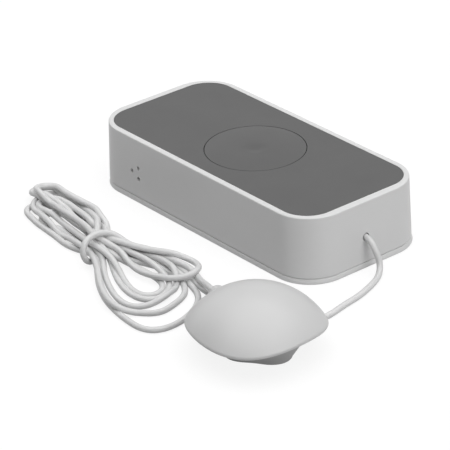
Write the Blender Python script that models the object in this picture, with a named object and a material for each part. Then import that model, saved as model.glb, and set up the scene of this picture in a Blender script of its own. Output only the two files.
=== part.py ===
# Water leak sensor: a battery box with a large push button, and a domed probe on a thin coiled cable.
# Metres, +Z up. The origin is the middle of the box's underside, on the surface the sensor stands on.
# +X runs along the box to the face that the cable leaves, and -Y is the long side with the sound holes.
import math

import bmesh
import bpy
from mathutils import Matrix, Vector

MM = 0.001

# Box, outside
BOX_LENGTH = 135.0 * MM
BOX_WIDTH = 64.4 * MM
BOX_HEIGHT = 28.2 * MM
BOX_CORNER = 16.6 * MM
BASE_THICKNESS = 2.3 * MM
BASE_OVERHANG = 0.3 * MM
BASE_LOWER_ROUND = 1.1 * MM
BASE_UPPER_ROUND = 0.35 * MM
SEAM_GAP = 0.3 * MM
END_DRAFT = 0.8 * MM
SIDE_DRAFT = 0.4 * MM
RIM_ROUND = 1.0 * MM
WALL = 2.2 * MM
PART_GAP = 0.3 * MM

# Grey panel in the top, and the round button in the panel
PANEL_END_INSET = 4.5 * MM
PANEL_SIDE_INSET = 3.5 * MM
PANEL_LENGTH = BOX_LENGTH - 2 * PANEL_END_INSET
PANEL_WIDTH = BOX_WIDTH - 2 * PANEL_SIDE_INSET
PANEL_CORNER_INSET = 4.9 * MM
PANEL_CORNER = BOX_CORNER - PANEL_CORNER_INSET
PANEL_THICKNESS = 1.5 * MM
BUTTON_X = 1.5 * MM
BUTTON_Y = -1.2 * MM
BUTTON_MARGIN = 8.25 * MM
BUTTON_RADIUS = PANEL_WIDTH / 2 - BUTTON_MARGIN
BUTTON_GROOVE = 0.5 * MM
BUTTON_RIM = 0.15 * MM
BUTTON_TRAVEL = 0.7 * MM
FLANGE_LIP = 1.2 * MM
FLANGE_THICKNESS = 0.8 * MM
DIMPLE_RADIUS = 5.4 * MM
DIMPLE_DEPTH = 0.5 * MM
STEM_RADIUS = 2.5 * MM
DECK_THICKNESS = 2.9 * MM
DECK_SHELF = 0.8 * MM
DECK_HOLE_RADIUS = 12.0 * MM

# Battery holder with two cells that lie across the box, near the end away from the cable
CELL_RADIUS = 5.25 * MM
CELL_END_ROOM = 20.9 * MM
CELL_LENGTH = BOX_WIDTH - CELL_END_ROOM
CELL_EDGE = 0.4 * MM
CELL_NUB_RADIUS = 1.9 * MM
CELL_NUB_LENGTH = 1.0 * MM
CELL_PITCH = 11.2 * MM
HOLDER_WALL = 1.4 * MM
HOLDER_LENGTH = CELL_PITCH + 2 * (CELL_RADIUS + PART_GAP + HOLDER_WALL)
HOLDER_END_ROOM = 16.75 * MM
HOLDER_X = HOLDER_END_ROOM + HOLDER_LENGTH / 2 - BOX_LENGTH / 2
HOLDER_Y = 2.5 * MM
HOLDER_HEIGHT = 11.5 * MM
CONTACT_THICKNESS = 0.5 * MM
CONTACT_SPACE = CONTACT_THICKNESS + 2 * PART_GAP

# Circuit board beside the holder, and the switch on it under the button
BOARD_HOLDER_GAP = 3.65 * MM
BOARD_END_ROOM = 15.5 * MM
BOARD_SIDE_ROOM = 7.2 * MM
BOARD_DEPTH = 17.2 * MM
BOARD_START = HOLDER_X + HOLDER_LENGTH / 2 + BOARD_HOLDER_GAP
BOARD_END = BOX_LENGTH / 2 - BOARD_END_ROOM
BOARD_LENGTH = BOARD_END - BOARD_START
BOARD_WIDTH = BOX_WIDTH - 2 * BOARD_SIDE_ROOM
BOARD_THICKNESS = 1.6 * MM
BOARD_X = (BOARD_START + BOARD_END) / 2
BOARD_BOTTOM = BOX_HEIGHT - BOARD_DEPTH
BOARD_SCREW_INSET = 4.5 * MM
SPACER_RADIUS = 2.8 * MM
SCREW_SHARE = 0.6
SCREW_RADIUS = 1.2 * MM
SCREW_HEAD_RADIUS = 2.3 * MM
SCREW_HEAD_HEIGHT = 1.1 * MM
PART_EDGE = 0.3 * MM
SWITCH_SIDE = 6.2 * MM
SWITCH_HEIGHT = 3.5 * MM
PLUNGER_RADIUS = 1.7 * MM
PLUNGER_OUT = 1.6 * MM
PLUNGER_IN = 1.4 * MM
MODULE_LENGTH = 25.5 * MM
MODULE_WIDTH = 18.0 * MM
MODULE_HEIGHT = 3.2 * MM
MODULE_END_ROOM = 22.0 * MM
MODULE_SIDE_ROOM = 12.0 * MM
MODULE_X = BOARD_END - MODULE_END_ROOM
MODULE_Y = BOARD_WIDTH / 2 - MODULE_SIDE_ROOM
CHIP_SIDE = 7.0 * MM
CHIP_HEIGHT = 1.0 * MM
CHIP_EDGE = 0.15 * MM
CHIP_SPACING = 22.0 * MM
CHIP_X = MODULE_X - CHIP_SPACING
CHIP_STEP = 1.0 * MM
CHIP_Y = MODULE_Y + CHIP_STEP
CAPACITOR_RADIUS = 3.0 * MM
CAPACITOR_HEIGHT = 7.5 * MM
CAPACITOR_RIM = 0.5 * MM
CAPACITOR_END_ROOM = 10.0 * MM
CAPACITOR_SIDE_ROOM = 13.0 * MM
CAPACITOR_X = BOARD_START + CAPACITOR_END_ROOM
CAPACITOR_Y = CAPACITOR_SIDE_ROOM - BOARD_WIDTH / 2
CONNECTOR_SIZE = (7.0 * MM, 8.0 * MM, 5.8 * MM)

# Screws that hold the base to posts in the shell
POST_END_INSET = 11.0 * MM
POST_SIDE_INSET = 10.7 * MM
POST_X = BOX_LENGTH / 2 - POST_END_INSET
POST_Y = BOX_WIDTH / 2 - POST_SIDE_INSET
POST_RADIUS = 3.2 * MM
POST_HOLE_DEPTH = 8.0 * MM
BASE_SCREW_LENGTH = 8.6 * MM
COUNTERBORE_DEPTH = 1.4 * MM
LIP_HEIGHT = 2.0 * MM
LIP_THICKNESS = 1.2 * MM
LIP_CLEARANCE = 0.4 * MM

# Sounder behind the three holes in the near long side
SOUND_HOLE_RADIUS = 0.8 * MM
SOUND_RING_RADIUS = 2.7 * MM
SOUND_SHIFT = 0.6 * MM
SOUND_DROP = 0.4 * MM
SOUND_X = HOLDER_X + SOUND_SHIFT
SOUND_Z = BOX_HEIGHT / 2 - SOUND_DROP
SOUNDER_RADIUS = 6.5 * MM
SOUNDER_DEPTH = 4.4 * MM
SOUNDER_EDGE = 0.4 * MM
SOUNDER_PORT = 1.0 * MM
SOUND_PAD_DEPTH = 1.0 * MM
SOUND_PAD_HOLE = 4.2 * MM

# Cable and its outlet in the end face
CABLE_RADIUS = 1.25 * MM
CABLE_HOLE_RADIUS = 1.65 * MM
CABLE_Y = -1.0 * MM
CABLE_Z = 13.6 * MM
COLLAR_RADIUS = 3.4 * MM
COLLAR_LENGTH = 5.0 * MM

# Probe: a thin domed cover whose edge is a rounded triangle, on a smaller three-lobed foot
PROBE_REACH = 20.0 * MM
PROBE_X = BOX_LENGTH / 2 + PROBE_REACH
PROBE_Y = -74.7 * MM
EDGE_RADIUS = 25.8 * MM
EDGE_Z = 12.57 * MM
DOME_WIDENING = 5.7 * MM
DOME_RADIUS = EDGE_RADIUS + DOME_WIDENING
DOME_CENTRE_Z = EDGE_Z - math.sqrt(DOME_RADIUS ** 2 - EDGE_RADIUS ** 2)
DOME_WALL = 2.2 * MM
EDGE_LOBE = 0.8 * MM
EDGE_LOBE_ANGLE = math.radians(-50.0)
EDGE_SHIFT = (-0.3 * MM, 0.5 * MM)
FOOT_SHIFT = (2.7 * MM, 1.4 * MM)
FOOT_SHARE = 0.38
FOOT_RADIUS = EDGE_RADIUS * FOOT_SHARE
FOOT_LOBE = 1.7 * MM
FOOT_HOLLOW_SHARE = 0.7
FOOT_ROUND = 0.6 * MM
FOOT_WALL = 1.9 * MM
FOOT_FLOOR = 2.4 * MM
SHOULDER_SHARE = 0.6744
SHOULDER_RADIUS = EDGE_RADIUS * SHOULDER_SHARE
SHOULDER_Z = 10.4 * MM
PLATE_THICKNESS = 1.0 * MM
PLATE_CLEARANCE = 1.2 * MM
CABLE_ANGLE = math.radians(170.4)
BOSS_RADIUS = 3.7 * MM
BOSS_NOSE_RADIUS = 2.1 * MM
BOSS_NOSE_LENGTH = 3.6 * MM
BOSS_INSET = 6.8 * MM
BOSS_OVERHANG = 5.4 * MM
BOSS_START = EDGE_RADIUS - BOSS_INSET
BOSS_REACH = EDGE_RADIUS + BOSS_OVERHANG
BOSS_Z = 11.0 * MM
BOSS_BORE_RADIUS = 1.6 * MM
ELECTRODE_RADIUS = 1.5 * MM
ELECTRODE_HEAD_RADIUS = 2.1 * MM
ELECTRODE_HEAD = 1.7 * MM
ELECTRODE_CHAMFER = 0.3 * MM
ELECTRODE_INSET = 3.6 * MM
ELECTRODE_OFFSET = FOOT_RADIUS - ELECTRODE_INSET
ELECTRODE_LIFT = 0.05 * MM
PROBE_BOARD_INSET = 2.0 * MM
PROBE_BOARD_RADIUS = FOOT_RADIUS - PROBE_BOARD_INSET
PROBE_BOARD_THICKNESS = 1.2 * MM
SEAL_WIDTH = 1.6 * MM
SEAL_INSET = 1.0 * MM

# Free cable: the stretches that lie loose, and the outline of the tied hank. The points are in
# millimetres, with x from the box's end face, y from its middle and z from the ground
CABLE_STEP = 5.0 * MM
HANK_HEIGHT = 9.0 * MM
HANK_EDGE = 2.0 * MM
BOX_LEAD_ROUTE = [
    (-0.9, -1, 13.6), (0.9, -1.1, 13.3), (3, -1.3, 12.1), (4.7, -1.2, 9.6),
    (5.6, -0.6, 6.2), (6.6, -1.2, 3.2), (9.1, -4.4, 1.5), (12.1, -10.2, 1.3),
    (15, -18.8, 1.3), (17.5, -29.2, 1.3), (19.8, -38.1, 1.3), (19.5, -44.4, 1.3),
    (14.7, -48.8, 1.3), (6, -50.6, 1.3), (-4, -52.7, 1.3), (-13.5, -57.2, 1.3),
    (-22, -60.5, 1.3), (-27.2, -60.5, 1.3), (-31.9, -59.6, 1.3),
]
PROBE_LEAD_ROUTE = [
    (-10.1, -69.2, 11), (-12.7, -68.7, 10.9), (-16.7, -66.8, 9.6), (-22.7, -63.6, 7),
    (-28.3, -61, 5), (-31.8, -59.7, 4.1),
]
HANK_OUTLINE = [
    (-142.5, -60), (-140, -54), (-130.5, -50.5), (-117.5, -50), (-106.5, -52),
    (-95.5, -57.5), (-84.5, -63), (-73.5, -62.5), (-63.5, -59), (-52.5, -54),
    (-42.5, -50.8), (-35.5, -52), (-33.3, -57), (-32.5, -62.5), (-25.5, -67.5),
    (-16.5, -74.5), (-11, -84), (-11, -93), (-17.5, -98.3), (-27.5, -99.3),
    (-39.5, -97.5), (-52.5, -92), (-63.5, -85.5), (-73.5, -80.5), (-84.5, -80),
    (-95.5, -80.5), (-111.5, -79.5), (-124.5, -76.5), (-133.5, -71.5), (-140.5, -66.5),
]

RING_STEPS = 7
ROUND_STEPS = 32
SMALL_STEPS = 16
CELL_STEPS = 24
DOME_STEPS = 48

# Heights and half sizes that follow from the values above
SHELL_BOTTOM = BASE_THICKNESS + SEAM_GAP
SHELL_LENGTH = BOX_LENGTH - 2 * BASE_OVERHANG
SHELL_WIDTH = BOX_WIDTH - 2 * BASE_OVERHANG
SHELL_CORNER = BOX_CORNER - BASE_OVERHANG
PANEL_BOTTOM = BOX_HEIGHT - PANEL_THICKNESS
DECK_TOP = PANEL_BOTTOM - PART_GAP
DECK_BOTTOM = DECK_TOP - DECK_THICKNESS
SHELF_TOP = DECK_BOTTOM + DECK_SHELF
FLANGE_RADIUS = BUTTON_RADIUS + BUTTON_GROOVE + FLANGE_LIP
FLANGE_TOP = PANEL_BOTTOM - PART_GAP
FLANGE_BOTTOM = FLANGE_TOP - FLANGE_THICKNESS
BOARD_TOP = BOARD_BOTTOM + BOARD_THICKNESS
ON_BOARD = BOARD_TOP + PART_GAP
SWITCH_TOP = ON_BOARD + SWITCH_HEIGHT
PLUNGER_TOP = SWITCH_TOP + PLUNGER_OUT
EDGE_CENTRE = (PROBE_X + EDGE_SHIFT[0], PROBE_Y + EDGE_SHIFT[1])
FOOT_CENTRE = (PROBE_X + FOOT_SHIFT[0], PROBE_Y + FOOT_SHIFT[1])
FOOT_LOBE_ANGLE = EDGE_LOBE_ANGLE + math.pi / 3
PLATE_TOP = SHOULDER_Z + PLATE_THICKNESS


def clear_scene():
    for old in list(bpy.data.objects):
        bpy.data.objects.remove(old, do_unlink=True)


def make_material(name, colour, roughness, metallic=0.0):
    made = bpy.data.materials.new(name)
    made.use_nodes = True
    shader = made.node_tree.nodes["Principled BSDF"]
    shader.inputs["Base Color"].default_value = (*colour, 1.0)
    shader.inputs["Roughness"].default_value = roughness
    shader.inputs["Metallic"].default_value = metallic
    made.diffuse_color = (*colour, 1.0)
    return made


def finish(name, bm, material, sharp_degrees=35.0):
    """Close a bmesh into a named object with its faces pointing out and its round sides smooth."""
    bmesh.ops.remove_doubles(bm, verts=bm.verts, dist=1e-7)
    bmesh.ops.recalc_face_normals(bm, faces=bm.faces)
    mesh = bpy.data.meshes.new(name)
    bm.to_mesh(mesh)
    bm.free()
    mesh.materials.append(material)
    mesh.shade_smooth()
    mesh.set_sharp_from_angle(angle=math.radians(sharp_degrees))
    made = bpy.data.objects.new(name, mesh)
    bpy.context.scene.collection.objects.link(made)
    return made


def rounded_ring(length, width, corner, z, centre=(0.0, 0.0)):
    """Points of a rectangle with round corners, the same number at every size."""
    points = []
    for quarter, (side_x, side_y) in enumerate(((1, 1), (-1, 1), (-1, -1), (1, -1))):
        for step in range(RING_STEPS):
            angle = math.radians(90.0 * quarter + 90.0 * step / (RING_STEPS - 1))
            x = centre[0] + side_x * (length / 2 - corner) + corner * math.cos(angle)
            y = centre[1] + side_y * (width / 2 - corner) + corner * math.sin(angle)
            points.append((x, y, z))
    return points


def round_ring(radius, z, centre=(0.0, 0.0), count=4 * RING_STEPS):
    """Points of a circle that line up with those of a rounded rectangle."""
    points = []
    for step in range(count):
        angle = 2 * math.pi * (step + 0.5) / count
        points.append((centre[0] + radius * math.cos(angle), centre[1] + radius * math.sin(angle), z))
    return points


def loft(name, rings, material, closed=False, sharp_degrees=35.0):
    """Bridge one ring of points to the next. Open lofts get a cap at both ends.

    The bridges are made on a plain stack of circles, so that each joins matching points, and the
    circles then take the shape of their rings."""
    bm = bmesh.new()
    loops = []
    for level, ring in enumerate(rings):
        corners = [bm.verts.new(point) for point in round_ring(1.0, float(level), count=len(ring))]
        edges = [bm.edges.new(pair) for pair in zip(corners, corners[1:] + corners[:1])]
        loops.append((corners, edges))
    pairs = list(zip(loops, loops[1:]))
    if closed:
        pairs.append((loops[-1], loops[0]))
    for (_, lower), (_, upper) in pairs:
        bmesh.ops.bridge_loops(bm, edges=lower + upper)
    if not closed:
        for corners, _ in (loops[0], loops[-1]):
            bm.faces.new(corners)
    for (corners, _), ring in zip(loops, rings):
        for corner, point in zip(corners, ring):
            corner.co = point
    return finish(name, bm, material, sharp_degrees)


def turned(name, profile, material, centre=(0.0, 0.0, 0.0), direction=(0.0, 0.0, 1.0),
           steps=ROUND_STEPS, ring=False):
    """Spin a profile of (radius, height) points about an axis through the centre.

    An open profile starts and ends on the axis. A ring's profile closes on itself."""
    bm = bmesh.new()
    points = [bm.verts.new((radius, 0.0, height)) for radius, height in profile]
    edges = [bm.edges.new(pair) for pair in zip(points, points[1:])]
    if ring:
        edges.append(bm.edges.new((points[-1], points[0])))
    bmesh.ops.spin(bm, geom=points + edges, cent=(0, 0, 0), axis=(0, 0, 1), angle=2 * math.pi,
                   steps=steps, use_merge=True)
    turn = Vector((0, 0, 1)).rotation_difference(Vector(direction)).to_matrix().to_4x4()
    bmesh.ops.transform(bm, matrix=turn, verts=bm.verts)
    made = finish(name, bm, material)
    made.location = centre
    return made


def block(name, size, centre, material, edge=0.0, turn=0.0):
    """A box with softened edges."""
    bm = bmesh.new()
    bmesh.ops.create_cube(bm, size=1.0, matrix=Matrix.Diagonal((*size, 1.0)))
    if edge > 0:
        bmesh.ops.bevel(bm, geom=bm.edges[:], offset=edge, offset_type="OFFSET", segments=2,
                        profile=0.5, affect="EDGES", material=-1)
    made = finish(name, bm, material, 60.0)
    made.location = centre
    made.rotation_euler = (0.0, 0.0, turn)
    return made


def boolean(target, cutter, operation):
    """Cut or join with a hidden guide object, which the build leaves out."""
    cutter.hide_render = True
    cutter.display_type = "WIRE"
    cut = target.modifiers.new(operation.title() + " " + cutter.name, "BOOLEAN")
    cut.operation = operation
    cut.solver = "EXACT"
    cut.object = cutter


def cylinder_guide(name, radius, start, direction, length, material, steps=SMALL_STEPS):
    profile = [(0, 0), (radius, 0), (radius, length), (0, length)]
    return turned(name, profile, material, start, direction, steps)


def smooth_route(route, step):
    """Evenly spaced points, in metres, on a smooth curve through the points of a route."""
    knots = [Vector(point) * MM + Vector((BOX_LENGTH / 2, 0.0, 0.0)) for point in route]
    knots = [2 * knots[0] - knots[1]] + knots + [2 * knots[-1] - knots[-2]]
    fine = []
    for a, b, c, d in zip(knots, knots[1:], knots[2:], knots[3:]):
        for i in range(20):
            t = i / 20
            fine.append(0.5 * ((2 * b) + (c - a) * t + (2 * a - 5 * b + 4 * c - d) * t ** 2
                               + (3 * b - a - 3 * c + d) * t ** 3))
    fine.append(knots[-2])
    total = sum((q - p).length for p, q in zip(fine, fine[1:]))
    count = max(2, round(total / step))
    points, travelled, target = [fine[0]], 0.0, total / count
    for p, q in zip(fine, fine[1:]):
        reach = (q - p).length
        while travelled + reach >= target - 1e-9 and len(points) < count:
            points.append(p.lerp(q, (target - travelled) / reach))
            target += total / count
        travelled += reach
    points.append(fine[-1])
    return points


def cable_tube(name, points, material):
    """A plain tube along the points of a cable."""
    curve = bpy.data.curves.new(name, "CURVE")
    curve.dimensions = "3D"
    curve.bevel_depth = CABLE_RADIUS
    curve.bevel_resolution = 2
    curve.use_fill_caps = True
    spline = curve.splines.new("POLY")
    spline.points.add(len(points) - 1)
    for slot, point in zip(spline.points, points):
        slot.co = (*point, 1.0)
    curve.materials.append(material)
    made = bpy.data.objects.new(name, curve)
    bpy.context.scene.collection.objects.link(made)
    return made


def shell_half(z, inset=0.0):
    """Length, width and corner radius of the tapered shell at a height, moved in by a wall."""
    share = (z - SHELL_BOTTOM) / (BOX_HEIGHT - SHELL_BOTTOM)
    length = SHELL_LENGTH - 2 * (END_DRAFT * share + inset)
    width = SHELL_WIDTH - 2 * (SIDE_DRAFT * share + inset)
    corner = SHELL_CORNER - (END_DRAFT + SIDE_DRAFT) / 2 * share - inset
    return length, width, corner


def shell_ring(z, inset=0.0):
    return rounded_ring(*shell_half(z, inset), z)


def make_base_plate(material, guide):
    """Flat tray lid: rounded outside, with a lip that locates it in the shell."""
    def outer(z, inset):
        return rounded_ring(BOX_LENGTH - 2 * inset, BOX_WIDTH - 2 * inset, BOX_CORNER - inset, z)

    rings = []
    for angle in (0.0, 30.0, 60.0, 90.0):
        drop = math.radians(angle)
        rings.append(outer(BASE_LOWER_ROUND * (1 - math.sin(drop)),
                           BASE_LOWER_ROUND * (1 - math.cos(drop))))
    rings.reverse()
    for angle in (0.0, 45.0, 90.0):
        rise = math.radians(angle)
        rings.append(outer(BASE_THICKNESS - BASE_UPPER_ROUND * (1 - math.sin(rise)),
                           BASE_UPPER_ROUND * (1 - math.cos(rise))))
    lip_inset = WALL + LIP_CLEARANCE
    lip_top = BASE_THICKNESS + LIP_HEIGHT
    length, width, corner = shell_half(SHELL_BOTTOM, lip_inset)
    rings.append(rounded_ring(length, width, corner, BASE_THICKNESS))
    rings.append(rounded_ring(length, width, corner, lip_top))
    inside = (length - 2 * LIP_THICKNESS, width - 2 * LIP_THICKNESS, corner - LIP_THICKNESS)
    rings.append(rounded_ring(*inside, lip_top))
    rings.append(rounded_ring(*inside, BASE_THICKNESS))
    plate = loft("base_plate", rings, material)
    head_room = SCREW_HEAD_RADIUS + PART_GAP
    for number, (x, y) in enumerate(post_places(), 1):
        profile = [(0, -MM), (head_room, -MM), (head_room, COUNTERBORE_DEPTH),
                   (SCREW_RADIUS + PART_GAP, COUNTERBORE_DEPTH),
                   (SCREW_RADIUS + PART_GAP, BASE_THICKNESS + MM), (0, BASE_THICKNESS + MM)]
        bore = turned(f"guide_counterbore_{number}", profile, guide, (x, y, 0), steps=SMALL_STEPS)
        boolean(plate, bore, "DIFFERENCE")
    return plate


def post_places():
    return [(sx * POST_X, sy * POST_Y) for sx, sy in ((1, 1), (-1, 1), (-1, -1), (1, -1))]


def make_top_shell(material, guide):
    """Hollow tapered housing with a soft rim, and a deck with a round recess for the button."""
    button = (BUTTON_X, BUTTON_Y)
    recess_radius = FLANGE_RADIUS + BUTTON_GROOVE
    rings = [shell_ring(SHELL_BOTTOM), shell_ring(BOX_HEIGHT - RIM_ROUND)]
    for angle in (30.0, 60.0, 90.0):
        turn = math.radians(angle)
        rings.append(rounded_ring(*shell_half(BOX_HEIGHT, RIM_ROUND * (1 - math.cos(turn))),
                                  BOX_HEIGHT - RIM_ROUND * (1 - math.sin(turn))))
    opening = (PANEL_LENGTH + 2 * PART_GAP, PANEL_WIDTH + 2 * PART_GAP, PANEL_CORNER + PART_GAP)
    rings.append(rounded_ring(*opening, BOX_HEIGHT))
    rings.append(rounded_ring(*opening, DECK_TOP))
    rings.append(round_ring(recess_radius, DECK_TOP, button))
    rings.append(round_ring(recess_radius, SHELF_TOP, button))
    rings.append(round_ring(DECK_HOLE_RADIUS, SHELF_TOP, button))
    rings.append(round_ring(DECK_HOLE_RADIUS, DECK_BOTTOM, button))
    rings.append(shell_ring(DECK_BOTTOM, WALL))
    rings.append(shell_ring(SHELL_BOTTOM, WALL))
    shell = loft("top_shell", rings, material, closed=True)
    for number, (x, y) in enumerate(post_places(), 1):
        post = cylinder_guide(f"guide_post_{number}", POST_RADIUS, (x, y, SHELL_BOTTOM), (0, 0, 1),
                              DECK_BOTTOM + DECK_SHELF / 2 - SHELL_BOTTOM, guide)
        boolean(shell, post, "UNION")
        pilot = cylinder_guide(f"guide_pilot_{number}", SCREW_RADIUS + PART_GAP,
                               (x, y, SHELL_BOTTOM - MM), (0, 0, 1), POST_HOLE_DEPTH + MM, guide)
        boolean(shell, pilot, "DIFFERENCE")
    for number, (x, z) in enumerate(sound_hole_places(), 1):
        hole = cylinder_guide(f"guide_sound_hole_{number}", SOUND_HOLE_RADIUS, (x, -BOX_WIDTH, z),
                              (0, 1, 0), BOX_WIDTH * 0.75, guide, 12)
        boolean(shell, hole, "DIFFERENCE")
    outlet = cylinder_guide("guide_cable_hole", CABLE_HOLE_RADIUS,
                            (BOX_LENGTH / 2 - 3 * WALL, CABLE_Y, CABLE_Z), (1, 0, 0), 5 * WALL, guide)
    boolean(shell, outlet, "DIFFERENCE")
    return shell


def sound_hole_places():
    """Three holes at the corners of an upright triangle that points away from the cable."""
    places = []
    for angle in (180.0, 60.0, -60.0):
        turn = math.radians(angle)
        places.append((SOUND_X + SOUND_RING_RADIUS * math.cos(turn),
                       SOUND_Z + SOUND_RING_RADIUS * math.sin(turn)))
    return places


def make_top_panel(material):
    """Grey cover plate with the round hole that the button sits in."""
    button = (BUTTON_X, BUTTON_Y)
    hole = BUTTON_RADIUS + BUTTON_GROOVE
    outline = (PANEL_LENGTH, PANEL_WIDTH, PANEL_CORNER)
    rings = [rounded_ring(*outline, BOX_HEIGHT), rounded_ring(*outline, PANEL_BOTTOM),
             round_ring(hole, PANEL_BOTTOM, button), round_ring(hole, BOX_HEIGHT, button)]
    return loft("top_panel", rings, material, closed=True)


def make_push_button(material):
    """Round cap with a shallow finger dimple, a flange under the panel and a stem to the switch."""
    top = BOX_HEIGHT
    profile = []
    for step in range(7):
        share = step / 6
        dip = DIMPLE_DEPTH * (0.5 + 0.5 * math.cos(math.pi * share))
        profile.append((DIMPLE_RADIUS * share, top - dip))
    profile += [(BUTTON_RADIUS - BUTTON_RIM, top), (BUTTON_RADIUS, top - BUTTON_RIM),
                (BUTTON_RADIUS, FLANGE_TOP), (FLANGE_RADIUS, FLANGE_TOP),
                (FLANGE_RADIUS, FLANGE_BOTTOM), (STEM_RADIUS, FLANGE_BOTTOM),
                (STEM_RADIUS, PLUNGER_TOP + PART_GAP), (0, PLUNGER_TOP + PART_GAP)]
    return turned("push_button", [(r, z - FLANGE_BOTTOM) for r, z in profile], material,
                  (BUTTON_X, BUTTON_Y, FLANGE_BOTTOM), steps=40)


def make_switch(body_material, plunger_material, guide):
    body = block("tact_switch", (SWITCH_SIDE, SWITCH_SIDE, SWITCH_HEIGHT),
                 (BUTTON_X, BUTTON_Y, ON_BOARD + SWITCH_HEIGHT / 2), body_material, PART_EDGE)
    well = PLUNGER_IN + BUTTON_TRAVEL + PART_GAP
    bore = cylinder_guide("guide_switch_well", PLUNGER_RADIUS + PART_GAP,
                          (BUTTON_X, BUTTON_Y, SWITCH_TOP - well), (0, 0, 1), well + MM, guide)
    boolean(body, bore, "DIFFERENCE")
    foot = SWITCH_TOP - PLUNGER_IN
    turned("switch_plunger", [(0, 0), (PLUNGER_RADIUS, 0), (PLUNGER_RADIUS, PLUNGER_TOP - foot),
                              (0, PLUNGER_TOP - foot)], plunger_material, (BUTTON_X, BUTTON_Y, foot),
           steps=SMALL_STEPS)


def board_hole_places():
    reach_x = BOARD_LENGTH / 2 - BOARD_SCREW_INSET
    reach_y = BOARD_WIDTH / 2 - BOARD_SCREW_INSET
    return [(BOARD_X + sx * reach_x, sy * reach_y) for sx, sy in ((1, 1), (-1, 1), (-1, -1), (1, -1))]


def make_board(board_material, spacer_material, screw_material, guide):
    """Circuit board on four spacers, each with its screw."""
    board = block("main_board", (BOARD_LENGTH, BOARD_WIDTH, BOARD_THICKNESS),
                  (BOARD_X, 0, BOARD_BOTTOM + BOARD_THICKNESS / 2), board_material)
    hole = SCREW_RADIUS + PART_GAP
    spacer_height = BOARD_BOTTOM - PART_GAP - (BASE_THICKNESS + PART_GAP)
    shaft = BOARD_THICKNESS + 2 * PART_GAP + spacer_height * SCREW_SHARE
    for number, (x, y) in enumerate(board_hole_places(), 1):
        bore = cylinder_guide(f"guide_board_hole_{number}", hole, (x, y, BOARD_BOTTOM - MM),
                              (0, 0, 1), BOARD_THICKNESS + 2 * MM, guide)
        boolean(board, bore, "DIFFERENCE")
        turned(f"board_spacer_{number}", [(hole, 0), (SPACER_RADIUS, 0), (SPACER_RADIUS, spacer_height),
                                          (hole, spacer_height)], spacer_material,
               (x, y, BASE_THICKNESS + PART_GAP), steps=SMALL_STEPS, ring=True)
        make_screw(f"board_screw_{number}", (x, y, ON_BOARD), (0, 0, -1), shaft, screw_material)


def make_screw(name, seat, direction, shaft, material):
    """Pan-head screw: the seat is under its head, and the shaft runs in the given direction."""
    head = SCREW_HEAD_RADIUS
    tall = SCREW_HEAD_HEIGHT
    profile = [(0, -tall), (head * 0.7, -tall), (head, -tall * 0.45), (head, 0), (SCREW_RADIUS, 0),
               (SCREW_RADIUS, shaft - SCREW_RADIUS), (0, shaft)]
    return turned(name, profile, material, seat, direction, SMALL_STEPS)


def make_board_parts(shield_material, chip_material, can_material, connector_material):
    block("radio_module", (MODULE_LENGTH, MODULE_WIDTH, MODULE_HEIGHT),
          (MODULE_X, MODULE_Y, ON_BOARD + MODULE_HEIGHT / 2), shield_material, PART_EDGE)
    block("processor_chip", (CHIP_SIDE, CHIP_SIDE, CHIP_HEIGHT),
          (CHIP_X, CHIP_Y, ON_BOARD + CHIP_HEIGHT / 2), chip_material, CHIP_EDGE)
    can = [(0, 0), (CAPACITOR_RADIUS, 0), (CAPACITOR_RADIUS, CAPACITOR_HEIGHT - CAPACITOR_RIM),
           (CAPACITOR_RADIUS - CAPACITOR_RIM, CAPACITOR_HEIGHT), (0, CAPACITOR_HEIGHT)]
    turned("capacitor", can, can_material, (CAPACITOR_X, CAPACITOR_Y, ON_BOARD), steps=SMALL_STEPS)
    length, width, height = CONNECTOR_SIZE
    block("wire_connector", CONNECTOR_SIZE,
          (BOARD_END - length / 2, CABLE_Y, ON_BOARD + height / 2), connector_material, PART_EDGE)


def make_battery_holder(material, cell_material, contact_material):
    """Open tray with two cells side by side and a contact plate at each end."""
    inner_x = HOLDER_LENGTH - 2 * HOLDER_WALL
    inner_y = CELL_LENGTH + CELL_NUB_LENGTH + 2 * CONTACT_SPACE
    corner = HOLDER_WALL
    centre = (HOLDER_X, HOLDER_Y)
    floor = BASE_THICKNESS + PART_GAP
    top = floor + HOLDER_HEIGHT
    outer = (inner_x + 2 * HOLDER_WALL, inner_y + 2 * HOLDER_WALL, corner)
    inner = (inner_x, inner_y, corner / 2)
    rings = [rounded_ring(*outer, floor, centre), rounded_ring(*outer, top, centre),
             rounded_ring(*inner, top, centre), rounded_ring(*inner, floor + HOLDER_WALL, centre)]
    loft("battery_holder", rings, material)
    axis_z = floor + HOLDER_WALL + PART_GAP + CELL_RADIUS
    low_y = HOLDER_Y - inner_y / 2 + CONTACT_SPACE
    profile = [(0, 0), (CELL_RADIUS - CELL_EDGE, 0), (CELL_RADIUS, CELL_EDGE),
               (CELL_RADIUS, CELL_LENGTH - CELL_EDGE), (CELL_RADIUS - CELL_EDGE, CELL_LENGTH),
               (CELL_NUB_RADIUS, CELL_LENGTH), (CELL_NUB_RADIUS, CELL_LENGTH + CELL_NUB_LENGTH),
               (0, CELL_LENGTH + CELL_NUB_LENGTH)]
    full = CELL_LENGTH + CELL_NUB_LENGTH
    turned("battery_cell_1", profile, cell_material, (HOLDER_X - CELL_PITCH / 2, low_y, axis_z),
           (0, 1, 0), CELL_STEPS)
    turned("battery_cell_2", profile, cell_material, (HOLDER_X + CELL_PITCH / 2, low_y + full, axis_z),
           (0, -1, 0), CELL_STEPS)
    plate = (inner_x - 4 * PART_GAP, CONTACT_THICKNESS, 2 * CELL_RADIUS - MM)
    for name, side in (("contact_near", -1), ("contact_far", 1)):
        y = HOLDER_Y + side * (inner_y / 2 - PART_GAP - CONTACT_THICKNESS / 2)
        z = floor + HOLDER_WALL + PART_GAP + plate[2] / 2
        block(name, plate, (HOLDER_X, y, z), contact_material)


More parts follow.
